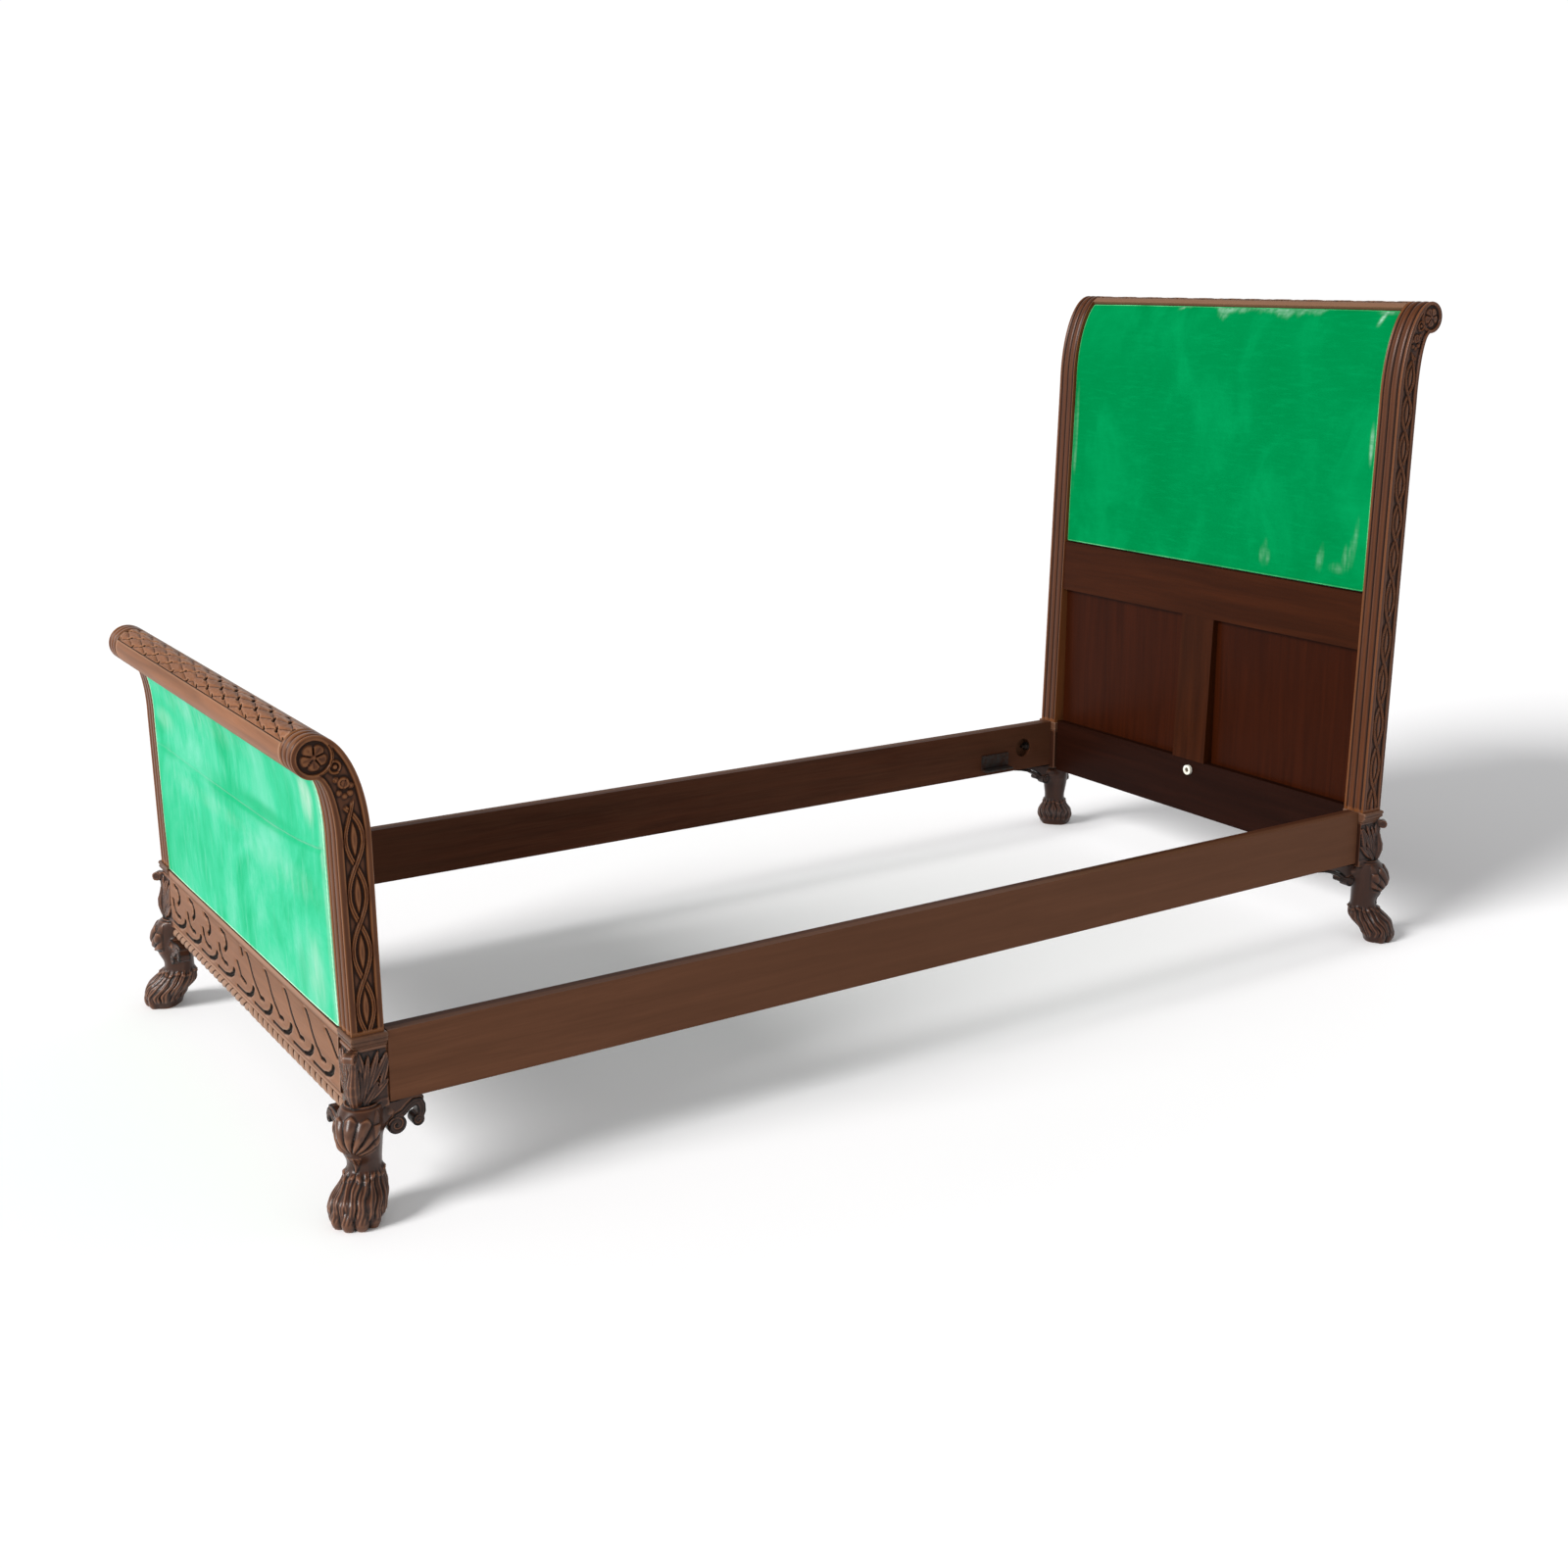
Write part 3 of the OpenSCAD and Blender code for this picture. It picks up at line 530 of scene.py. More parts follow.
def side_relief(kind, e, u, z, L, s, W, t):
    """height of the carving over the sunk ground, 0 at the plain face, mm, negative inwards"""
    front, back = s * W, (1 - s) * W
    roll = sm((t - 1.55) / 0.45)
    if kind == "foot":
        b0, b1 = 8.0 + (6.0 - 8.0) * roll, 7.0 + (6.0 - 7.0) * roll
    else:
        b0, b1 = 7.0 + (6.0 - 7.0) * roll, 8.0 + (6.0 - 8.0) * roll
    rho = np.hypot(u - e["xc"], z - e["zc"])
    th = np.arctan2(z - e["zc"], u - e["xc"])
    out = t > 2
    front = np.where(out, e["r"] - rho, front)
    back = np.where(out, e["r"] - rho, back)
    g = sm((front - b0) / 1.3) * sm((back - b1) / 1.3)
    g = g * sm((L - 4.0) / 2.0)
    h = -3.6 * g
    # a bead and a quirk inside the plain borders
    h = h - 1.3 * bump(back - (b1 - 3.4), 1.1) * (1 - g) - 0.9 * bump(front - (b0 - 2.4), 1.0) * (1 - g)
    cr = CROSS[kind]
    gap = cr[1] - cr[0]
    Lx = [cr[0] - gap] + cr + [cr[-1] + 62.0]
    ph = np.interp(L, Lx, np.arange(len(Lx)) - 1.0)
    k = np.floor(ph)
    wc = (b0 - b1) / 2
    w = s * W - W / 2 - wc
    amp = np.minimum((W - b0 - b1) / 2 - 3.6, 11.6)
    end = cr[-1] + 13.0
    live = sm((end - L) / 5.0)
    slope = math.pi * amp / 70.0 * np.cos(math.pi * ph)
    cs = 1 / np.sqrt(1 + slope ** 2)
    w1 = amp * np.sin(math.pi * ph)
    d1, d2 = np.abs(w - w1) * cs, np.abs(w + w1) * cs
    HWD = 3.1

    def ribbon(d):
        return sm((HWD - d) / 0.9) * (3.3 - 1.5 * bump(d, 1.25))
    r1, r2 = ribbon(d1), ribbon(d2)
    over1 = (np.round(ph).astype(int) % 2) == 0
    near = bump(ph - np.round(ph), 0.26)
    cut1 = 1 - sm((HWD + 1.3 - d2) / 1.3) * near
    cut2 = 1 - sm((HWD + 1.3 - d1) / 1.3) * near
    r1 = np.where(over1, r1, r1 * cut1)
    r2 = np.where(over1, r2 * cut2, r2)
    strands = np.maximum(r1, r2) * live
    # smooth lens bosses in the loops
    mid = (ph - k - 0.5)
    Lw = 5.6 * (1 - (mid / 0.36) ** 2)
    boss = 3.3 * sm((Lw - np.abs(w)) / 3.2) * (np.abs(mid) < 0.36) * (L < cr[-1])
    h = h + np.maximum(strands, boss) * g
    # rosette: five petals round an eye
    R = e["r"]
    pet = 5
    al = np.mod(th - math.pi / 2, 2 * math.pi / pet) - math.pi / pet
    lob = np.abs(al) / (math.pi / pet)
    petal_r = 19.0 * (1 - 0.30 * lob ** 3)
    hp = 3.1 * sm((petal_r - rho) / 3.0) * sm((1 - lob) * rho / 2.2) * (0.72 + 0.28 * np.cos(np.clip(rho / 19, 0, 1) * math.pi - 1.2))
    hp = hp - 0.8 * bump(al * rho, 1.3) * sm((rho - 5) / 3) * sm((16 - rho) / 4)
    eye = 3.4 * sm((4.6 - rho) / 2.4)
    disc = sm((22.5 - rho) / 1.2)
    h = np.where(rho < 23.8, -3.6 * sm((22.6 - rho) / 1.3) + np.maximum(hp, eye) * disc, h)
    # a round rim between the rosette and the strap below it
    ring = bump(rho - 25.0, 2.2) * (t < 2.0) * 3.0 * g
    h = np.where((rho >= 23.8), np.maximum(h, -3.6 * g + ring), h)
    # second volute with its eye
    du, dz = u - (e["xc"] - 26.5), z - (e["zc"] - 15.5)
    q = np.hypot(du, dz)
    an = np.arctan2(dz, du)
    spiral = 8.3 - 1.6 * (np.mod(an + 2.2, 2 * math.pi) / (2 * math.pi))
    vol = 3.3 * bump(q - spiral, 2.6)
    vol = np.maximum(vol, 3.2 * sm((4.2 - q) / 2.2))
    # leaf cluster with scalloped tips
    leaf = np.zeros_like(h)
    for cu, cz, rr, hh in ((-36.5, -38.0, 8.6, 3.2), (-44.5, -52.0, 4.6, 3.0), (-37.5, -55.5, 4.2, 3.0), (-30.5, -50.5, 4.6, 3.0), (-46.0, -42.0, 4.8, 2.8), (-27.0, -33.0, 4.6, 2.6)):
        k1 = np.hypot(u - (e["xc"] + cu), z - (e["zc"] + cz))
        leaf = np.maximum(leaf, hh * sm((rr - k1) / 2.0) - 1.4 * bump(k1 - rr * 0.48, 0.9))
    vein = bump((u - (e["xc"] - 36.5)) * 0.94 + (z - (e["zc"] - 42.0)) * 0.34, 1.1)
    leaf = leaf - 1.2 * vein * (leaf > 1.5)
    extra = np.maximum(vol * (q < 12), leaf)
    m = (rho > 24) & (t < 2.02)
    h = np.where(m, np.maximum(h, -3.6 * g + extra * g), h)
    return h


def stile(kind, side):
    e = END[kind]
    n1 = 190 if kind == "foot" else 560
    n2 = 130 if kind == "foot" else 150
    t = np.concatenate([np.linspace(0, 1, n1, endpoint=False), np.linspace(1, 2, n2, endpoint=False), 2 + np.sin(np.linspace(0, 1, 34) * math.pi / 2) ** 1.0])
    al = np.clip(t - 2, 0, 1) * math.pi / 2
    tt = np.minimum(t, 2)

    def P(d):
        u, z = cvx(e, tt[:, None], d)
        r = e["r"] - d
        return np.where(t[:, None] > 2, e["xc"] + r * np.sin(al[:, None]), u), np.where(t[:, None] > 2, e["zc"] + r * np.cos(al[:, None]), z)

    def Qc(d):
        u, z = ccv(e, tt[:, None], d)
        r = e["r"] - d
        return np.where(t[:, None] > 2, e["xc"] + r * np.sin(al[:, None]), u), np.where(t[:, None] > 2, e["zc"] - r * np.cos(al[:, None]), z)

    yl = np.concatenate([[0.7, 1.6], np.arange(3.0, 45.0, 1.25), [45.3]])
    rd = reed(yl)
    rd[0] = max(rd[0], 0.25)
    rd[-1] += 0.2
    fade_v = np.ones(len(t)) if kind == "head" else sm((t - 1.35) / 0.4)
    fade_c = np.ones(len(t)) if kind == "foot" else sm((t - 1.35) / 0.4)
    dv = rd[None, :] * fade_v[:, None] + 0.0
    dc = rd[None, :] * fade_c[:, None] + 0.0
    pu, pz = P(dv)
    qu, qz = Qc(dc)
    hw = e["hw"]
    zero = np.zeros((len(t), 1)) + 0.5
    p0u, p0z = P(zero)
    q0u, q0z = Qc(zero)
    s = np.linspace(0, 1, 46)[None, :]
    fu, fz = q0u + (p0u - q0u) * s, q0z + (p0z - q0z) * s
    W = np.hypot(p0u - q0u, p0z - q0z)
    mu, mz = (p0u + q0u)[:, 0] / 2, (p0z + q0z)[:, 0] / 2
    L = np.concatenate([[0], np.cumsum(np.hypot(np.diff(mu), np.diff(mz)))])
    h = side_relief(kind, e, fu, fz, L[:, None], s, W, t[:, None])
    edge = np.minimum(s * W, (1 - s) * W)
    h = h * sm(edge / 1.5)
    yf = -hw - h
    # the closed loop of a row: outer face, bed-side rim, inner face, outer rim
    ru = np.concatenate([fu, pu, (pu[:, -1:] + (qu[:, -1:] - pu[:, -1:]) * np.linspace(0, 1, 6)[None, 1:-1]), qu[:, ::-1]], 1)
    rz = np.concatenate([fz, pz, (pz[:, -1:] + (qz[:, -1:] - pz[:, -1:]) * np.linspace(0, 1, 6)[None, 1:-1]), qz[:, ::-1]], 1)
    yr = np.broadcast_to(-hw + yl, pu.shape)
    yi = np.full((len(t), 4), -hw + 46.0)
    ry = np.concatenate([yf, yr, yi, yr[:, ::-1]], 1)
    V = place(e, ru, ry, rz)
    n, m = V.shape[:2]
    F = grid_faces(n, m, wrap_m=True)
    V = V.reshape(-1, 3)
    c0 = V[:m].mean(0)
    V = np.concatenate([V, [c0]])
    T = fan(np.arange(m), n * m)
    if side == "far":
        V = mirror(V)
    o = closed("stile_%s_%s" % (kind, side), V, F, T, M["carve_z" if kind == "foot" else "carve_head"], hollow=14, span=0.95, angle=50)
    done(o, "%s_stile_%s" % (kind, side), slot="carved_wood")
    return o


# ---------------------------------------------------------------- crest rolls
def crest(kind):
    e = END[kind]
    half = e["hw"] - 46.0
    y = np.linspace(-half, half, 600)
    r = e["r"]
    A = []
    if kind == "foot":
        for t in np.linspace(1.19, 2, 34)[:-1]:
            A.append((*cvx(e, t, 0.0), 0, 0))
    else:
        for t in np.linspace(1.17, 1.764, 20):
            A.append((*cvx(e, t, 16.0), 0, 0))
        for t in np.linspace(1.772, 2, 14)[:-1]:
            A.append((*cvx(e, t, 0.0), 0, 0))
    th = np.radians(np.concatenate([np.linspace(90, 28, 64), np.linspace(27, -90, 46)]))
    band_lo, band_hi = (30.0, 118.0) if kind == "foot" else (12.0, 116.0)
    # the carved band reaches a little past the top, on to the bed-side curve
    loop = [(float(a), float(b)) for a, b, _, _ in A]
    iarc = len(loop)
    loop += [(e["xc"] + r * math.cos(x), e["zc"] + r * math.sin(x)) for x in th]
    C = []
    if kind == "foot":
        for t in np.linspace(2, 1.80, 10)[1:]:
            C.append(tuple(float(v) for v in ccv(e, t, 0.0)))
        for t in np.linspace(1.79, 1.17, 14):
            C.append(tuple(float(v) for v in ccv(e, t, 16.0)))
    else:
        for t in np.linspace(2, 1.17, 26)[1:]:
            C.append(tuple(float(v) for v in ccv(e, t, 0.0)))
    loop += C
    lu, lz = np.array([p[0] for p in loop]), np.array([p[1] for p in loop])
    if kind == "foot":
        pass
    # normals of the loop and the angle round the roll
    ang = np.degrees(np.arctan2(lz - e["zc"], lu - e["xc"]))
    ang = np.where(ang < -95, ang + 360, ang)
    Y, TH = np.meshgrid(y, ang, indexing="ij")
    yy = -np.abs(Y)
    h = np.zeros_like(Y)
    rho = np.hypot(lu - e["xc"], lz - e["zc"])[None, :]
    on = (np.abs(rho - r) < 6) & (TH > -60)
    g = sm((TH - band_lo) / 3.0) * sm((band_hi - TH) / 3.0) * on
    per, row = 76.0, 20.0
    q = (TH - 52.0) / row
    p = (yy + 365.0) / per
    # two families of grooves through a staggered net, with slots where they meet
    k1 = p - q * 0.46
    k2 = p + q * 0.54
    f1 = np.abs(k1 - np.round(k1)) * per * 0.42
    f2 = np.abs(k2 - np.round(k2)) * per * 0.42
    j = np.round(q)
    qf = q - j
    odd = np.mod(j, 2)
    site = p - odd * 0.46
    dy = (site - np.round(site)) * per
    da = qf * row * math.radians(1) * r
    along, across = dy * 0.82 + da * 0.57, -dy * 0.57 + da * 0.82
    slot = sm(1.25 - (across / 2.7) ** 2) * sm((10.5 - np.abs(along)) / 4.0)
    wob = 1.0 + 0.5 * (noise2(yy / 23.0, TH / 9.0, 4) - 0.5)
    net = (0.55 * bump(f1, 1.7) + 0.45 * bump(f2 * wob, 1.6))
    pill = 1.2 * np.minimum(sm(f1 / 8.0), sm(f2 / 8.0)) + 0.5 * (noise2(yy / 6.0, TH / 5.0, 8) - 0.5)
    h = g * (-1.7 - net - 3.2 * slot + pill)
    h = h - 1.5 * bump((TH - band_lo) * math.radians(1) * r, 1.3) * on - 1.5 * bump((TH - band_hi) * math.radians(1) * r, 1.3) * on
    # painted shadow: dark marks the slots and the quirks along the band's edges, which the material colours near-black
    # for the shade in them
    dark = np.maximum(slot * g, 0.75 * (bump((TH - band_lo) * math.radians(1) * r, 1.5) + bump((TH - band_hi) * math.radians(1) * r, 1.5)) * on)
    dark = np.concatenate([np.clip(dark, 0, 1).ravel(), [0, 0]])
    nu, nz = (lu - e["xc"]) / rho[0], (lz - e["zc"]) / rho[0]
    V = place(e, lu[None, :] + h * nu[None, :], Y, lz[None, :] + h * nz[None, :])
    n, m = V.shape[:2]
    F = grid_faces(n, m, wrap_m=True)
    V = V.reshape(-1, 3)
    a, b = V[:m].mean(0), V[-m:].mean(0)
    a[0] = b[0] = XO + e["sx"] * (e["xc"] - 4)
    a[2] = b[2] = e["zc"]
    V = np.concatenate([V, [a, b]])
    T = np.concatenate([fan(np.arange(m), n * m), fan(np.arange((n - 1) * m, n * m), n * m + 1, True)])
    o = closed("crest_%s" % kind, V, F, T, M["crest_" + kind], hollow=10, span=0.5, angle=60, cut=dark)
    done(o, "%s_crest_rail" % kind, slot="carved_wood")


# ---------------------------------------------------------------- foot frieze and gadroon
def seg_dist(y, z, pts):
    d = np.full(y.shape, 1e9)
    for (ay, az), (by, bz) in zip(pts[:-1], pts[1:]):
        vy, vz = by - ay, bz - az
        k = np.clip(((y - ay) * vy + (z - az) * vz) / (vy * vy + vz * vz), 0, 1)
        d = np.minimum(d, np.hypot(y - ay - k * vy, z - az - k * vz))
    return d


def frieze():
    e = END["foot"]
    u0, u1 = X0 + 12.0, X0 + 50.0
    half = 407.0
    y = np.linspace(-half, half, 640)
    z = np.concatenate([np.linspace(152.0, 163.0, 9), np.linspace(164.2, 242.0, 70), [243.5, 246.0, 249.0, 250.6, 252.0]])
    Y, Z = np.meshgrid(y, z, indexing="ij")
    cuts = []
    for k in range(-1, 4):
        a = -345.0 + 88.0 * k
        pts = [(a, 185), (a + 15, 183.5), (a + 35, 195), (a + 55, 215), (a + 72, 234)]
        if k == -1:
            pts = [(-395, 208), (-357, 233)]
        cuts.append((pts, 1.0))
    for a in (-378, -295, -205, -118, -33):
        cuts.append(([(a, 188), (a + 6, 178), (a + 18, 170), (a + 36, 165)], 1.0))
        cuts.append(([(a + 36, 165), (a + 80, 165)], 0.7))
    cuts.append(([(5, 184), (28, 187), (42, 205)], 1.0))
    cuts.append(([(13, 226), (17, 234)], 0.8))
    for a in (95, 182, 268, 354):
        cuts.append(([(a + 25, 233), (a + 8, 231), (a + 1, 222), (a + 2, 212), (a + 12, 204)], 1.0))
        cuts.append(([(a + 40, 205), (a + 38, 194), (a + 30, 186), (a + 16, 183), (a + 2, 184)], 1.0))
    for a in (62, 150, 238, 325):
        cuts.append(([(a, 187), (a + 6, 178), (a + 22, 170), (a + 44, 165)], 1.0))
        cuts.append(([(a + 44, 165), (a + 84, 165)], 0.7))
    h = np.zeros_like(Y)
    cut = np.zeros_like(Y)
    for pts, amt in cuts:
        pts = [(p[0], p[1]) for p in pts]
        lo, hi = min(p[0] for p in pts) - 12, max(p[0] for p in pts) + 12
        m = (Y > lo) & (Y < hi)
        if not m.any():
            continue
        d = seg_dist(Y[m] * 0.56, Z[m], [(p[0] * 0.56, p[1]) for p in pts])
        h[m] = np.minimum(h[m], -2.3 * amt * sm((3.5 - d) / 1.4) - 1.6 * amt * sm((8.5 - d) / 7.0) ** 2)
        # painted shadow: this groove mask is coloured near-black in the material for the shadow inside the grooves
        cut[m] = np.maximum(cut[m], amt * sm((3.5 - d) / 0.9))
    # the flat of the ribbons rolls gently, a quirk above the base fillet
    h += 0.5 * np.sin(Y / 14.0 + Z / 9.0) * 0.6
    h = h * sm((239 - Z) / 3.0) * sm((Z - 160.0) / 4.0) - 0.7 * bump(Z - 240.5, 2.2) - 0.8 * sm((Z - 250.2) / 1.8)
    cut = cut * sm((238.5 - Z) / 2.5)
    base = sm((Z - 162.5) / 2.0)
    cove = -1.6 * (1 - base) * sm((162.8 - Z) / 3.0)
    u = u1 - 1.0 + h + cove - 0.0
    u = np.minimum(u, u1)
    front = place(e, u, Y, Z)
    n, m = front.shape[:2]
    V = front.reshape(-1, 3)
    F = grid_faces(n, m)
    back = np.array([place(e, np.array(u0), yy, np.array(zz)) for yy in (-half, half) for zz in (152.0, 252.0)]).reshape(-1, 3)
    b = len(V)
    V = np.concatenate([V, back])          # b: -y low, b+1: -y high, b+2: +y low, b+3: +y high
    lo = np.arange(n) * m
    hi = lo + m - 1
    T = []
    mid = n // 2
    for i in range(n - 1):
        T.append((lo[i], lo[i + 1], b if i < mid else b + 2))
        T.append((hi[i + 1], hi[i], b + 1 if i < mid else b + 3))
    T.append((lo[mid], b + 2, b))
    T.append((hi[mid], b + 1, b + 3))
    for i0, c0, c1, fl in ((0, b, b + 1, False), ((n - 1) * m, b + 2, b + 3, True)):
        col = i0 + np.arange(m)
        for k in range(m - 1):
            tri = (col[k + 1], col[k], c0)
            T.append(tri[::-1] if fl else tri)
        tri = (col[-1], c0, c1)
        T.append(tri[::-1] if fl else tri)
    T.append((b, b + 2, b + 1))
    T.append((b + 1, b + 2, b + 3))
    V2, Q2, T2, C2 = weld(V, F, np.array(T), np.concatenate([cut.ravel(), [0, 0, 0, 0]]))
    Q2, T2 = outward(V2, Q2, T2)
    o = make("frieze", V2, Q2, T2, M["frieze"], hollow=9, span=0.8, angle=65, cut=C2)
    done(o, "foot_frieze_rail", slot="carved_wood")


def gadroon():
    """a bead of slanting lobes under the frieze"""
    e = END["foot"]
    y = np.linspace(-407.0, 407.0, 900)
    ph = np.linspace(0, 2 * math.pi, 30, endpoint=False)
    cu, cz, r = X0 + 38.5, 142.0, 10.5
    Y, PH = np.meshgrid(y, ph, indexing="ij")
    pitch = 23.0
    sgn = np.sign(Y) * 1.0
    slant = (PH - 0.0)
    w = np.angle(np.exp(1j * PH))
    arg = (np.abs(Y) + 8.5 * w) / pitch
    fr = arg - np.floor(arg)
    lobe = np.sqrt(np.clip(1 - (2 * fr - 1) ** 2, 0, 1))
    facing = sm((np.cos(PH) + 0.75) / 0.7)
    R = r - 4.2 * (1 - lobe) * facing
    U = cu + R * np.cos(PH)
    Zz = cz + R * np.sin(PH) * 0.97
    V = place(e, U, Y, Zz)
    n, m = V.shape[:2]
    F = grid_faces(n, m, wrap_m=True)
    V = V.reshape(-1, 3)
    a, b = V[:m].mean(0), V[-m:].mean(0)
    T = np.concatenate([fan(np.arange(m), n * m), fan(np.arange((n - 1) * m, n * m), n * m + 1, True)])
    V = np.concatenate([V, [a, b]])
    o = closed("gadroon_bead", V, F, T, M["gadroon"], hollow=8, span=0.6)
    # its bed: a fillet that carries the bead under the rail
    prof = np.array([(X0 + 22.5, 152.0), (X0 + 22.5, 134.5), (X0 + 33.0, 134.5), (X0 + 36.5, 138.0), (X0 + 38.0, 147.0), (X0 + 44.6, 150.0), (X0 + 45.4, 152.0)])
    ys = np.linspace(-407.0, 407.0, 24)
    V = np.array([[place(e, np.array(u), yy, np.array(zz)) for u, zz in prof] for yy in ys])
    n, m = V.shape[:2]
    F = grid_faces(n, m, wrap_m=True)
    V = V.reshape(-1, 3)
    T = np.concatenate([fan(np.arange(m), n * m), fan(np.arange((n - 1) * m, n * m), n * m + 1, True)])
    V = np.concatenate([V, [V[:m].mean(0), V[-m:].mean(0)]])
    p = closed("gadroon_bed", V, F, T, M["gadroon"], smooth=False)
    done(o, "foot_gadroon", slot="carved_wood")
    done(p, "foot_gadroon", slot="carved_wood")


# ---------------------------------------------------------------- velvet panels and their braids
def blob(y, t, cy, ct, ry, rt, soft=1.0):
    return sm(1.25 * soft - np.hypot((y - cy) / ry, (t - ct) / rt) * soft)


def pad(kind):
    e = END[kind]
    if kind == "foot":
        half, t0, t1, curve, D0 = 408.0, -0.0125, 1.788, ccv, -1.6
    else:
        half, t0, t1, curve, D0 = 419.0, (669.8 - 256) / (1020 - 256), 1.763, cvx, 4.0
    ny, nt = 330, 260
    # even steps of arc length up the panel, closer towards the edges
    tt = np.linspace(t0, t1, 4000)
    uu, zz = curve(e, tt, 4.0)
    S = np.concatenate([[0], np.cumsum(np.hypot(np.diff(uu), np.diff(zz)))])
    k = np.linspace(0, 1, nt)
    k = 0.5 - 0.5 * np.cos(k * math.pi) * (1 - 0.55) - 0.55 * (0.5 - k)
    k = (k - k[0]) / (k[-1] - k[0])
    st = k * S[-1]
    t = np.interp(st, S, tt)
    ky = np.linspace(0, 1, ny)
    ky = 0.5 - 0.5 * np.cos(ky * math.pi) * (1 - 0.55) - 0.55 * (0.5 - ky)
    ky = (ky - ky[0]) / (ky[-1] - ky[0])
    y = -half + 2 * half * ky
    Y, T = np.meshgrid(y, t, indexing="ij")
    _, ST = np.meshgrid(y, st, indexing="ij")
    ey, es = half - np.abs(Y), np.minimum(ST, S[-1] - ST)
    # a slightly soft outline: the sides pull in a little between the corners
    edge = np.minimum(ey, es)
    near = np.clip(edge / 7.0, 0, 1)
    lip = 1 - np.sqrt(np.clip(1 - (1 - near) ** 2, 0, 1))
    crown = (1 - sm(ey / 150.0)) ** 1.5 * 0.5 + (1 - sm(es / 120.0)) ** 1.5 * 0.5
    D = D0 + 3.4 * lip + 2.0 * crown
    # slack and pulls
    D = D + 0.9 * (noise2(Y / 95.0, ST / 120.0, 3) - 0.5) * sm(edge / 40.0)
    D = D + 0.35 * (noise2(Y / 26.0, ST / 60.0, 7) - 0.5) * sm(edge / 25.0)
    worn = 0.55 * bump(edge - 1.2, 3.2) * (0.5 + 0.5 * noise2(Y / 14.0, ST / 14.0, 11))
    if kind == "foot":
        line = np.interp(Y, [-408, -375, -300, -200, 100, 300, 408], [0.955, 0.93, 0.90, 0.88, 0.865, 0.862, 0.85])
        dl = (T - line) * 256.0
        amt = np.interp(Y, [-408, -390, -330, -100, 0, 120, 260, 380], [0.0, 0.8, 1.0, 0.8, 0.9, 0.45, 0.5, 0.3])
        D = D + (2.1 * bump(dl + 3.0, 6.0) - 1.1 * bump(dl - 3.0, 4.5)) * amt
        D = D + 0.9 * bump((T - line + 0.06) * 256.0 + (Y - 60) * 0.05, 9.0) * bump(Y - 60, 60)
        D = D + 0.8 * bump((T - 0.86) * 256.0, 6.0) * bump(Y - 340, 55)
        worn = np.maximum(worn, 0.45 * bump(dl, 2.6) * amt)
        streak = noise2(Y / 9.0, T * 9.0, 5)
        worn = np.maximum(worn, 1.0 * blob(Y, T, -352, 1.34, 26, 0.30) * (0.75 + 0.25 * streak))
        worn = np.maximum(worn, 0.6 * blob(Y, T, -400, 0.9, 12, 1.1) * (0.4 + 0.6 * streak))
        worn = np.maximum(worn, 0.5 * blob(Y, T, -335, 0.22, 38, 0.24) * (0.2 + 0.8 * streak))
        worn = np.maximum(worn, 0.45 * blob(Y, T, 335, 1.1, 55, 0.14) * (0.6 + 0.4 * streak))
        worn = np.maximum(worn, 0.22 * blob(Y, T, -250, 0.66, 190, 0.10) * streak)
        worn = np.maximum(worn, 0.22 * blob(Y, T, 120, 0.72, 260, 0.06) * streak)
        worn = np.maximum(worn, 0.28 * blob(Y, T, 130, 1.45, 300, 0.22) * streak)
        green = 0.55 * bump(dl + 5.0, 6.0) * amt + 0.8 * blob(Y, T, 385, 0.98, 40, 0.09) + 0.5 * blob(Y, T, -180, 0.93, 120, 0.05) + 0.9 * blob(Y, T, 15, 1.3, 45, 0.24) + 0.7 * blob(Y, T, -80, 0.9, 230, 0.09) + 0.6 * blob(Y, T, 60, 0.83, 60, 0.07) + 0.6 * blob(Y, T, 340, 0.86, 60, 0.07)
        green += 0.5 * blob(Y, T, -280, 1.2, 22, 0.35) + 0.6 * blob(Y, T, -280, 0.15, 22, 0.2) + 0.4 * blob(Y, T, 350, 0.3, 90, 0.5) + 0.3 * blob(Y, T, -350, 0.1, 20, 0.15)
    else:
        streak = noise2(Y / 5.0, T * 22.0, 5)
        grain = noise2(Y / 3.0, T * 60.0, 6)
        rag = 0.07 * (noise2(Y / 13.0, Y * 0, 9) - 0.5) + 0.03 * (noise2(Y / 4.0, T * 20, 13) - 0.5)
        lowedge = np.interp(Y, [-250, -235, -160, -90, -20, 5, 15, 35, 45, 70], [1.76, 1.70, 1.63, 1.66, 1.68, 1.60, 1.57, 1.60, 1.70, 1.76]) + rag
        worn = np.maximum(worn, 0.62 * sm((T - lowedge + 0.03) / 0.11) * ((Y > -255) & (Y < 72)) * (0.35 + 0.65 * streak) * (0.6 + 0.4 * grain))
        worn = np.maximum(worn, 0.8 * sm((T - 1.69 + rag) / 0.04) * bump(Y - 135, 22) * (0.4 + 0.6 * streak))
        worn = np.maximum(worn, 0.85 * bump(Y + 388 - (1.75 - T) * 40, 6 + 12 * np.clip(T - 1.5, 0, 1)) * sm((T - 1.53) / 0.08) * (0.4 + 0.6 * grain))
        worn = np.maximum(worn, 0.45 * sm((T - 1.67) / 0.04) * bump(Y + 395, 40) * streak)
        worn = np.maximum(worn, 0.8 * blob(Y, T, -408, 0.90, 5, 0.05) * (0.3 + 0.7 * grain))
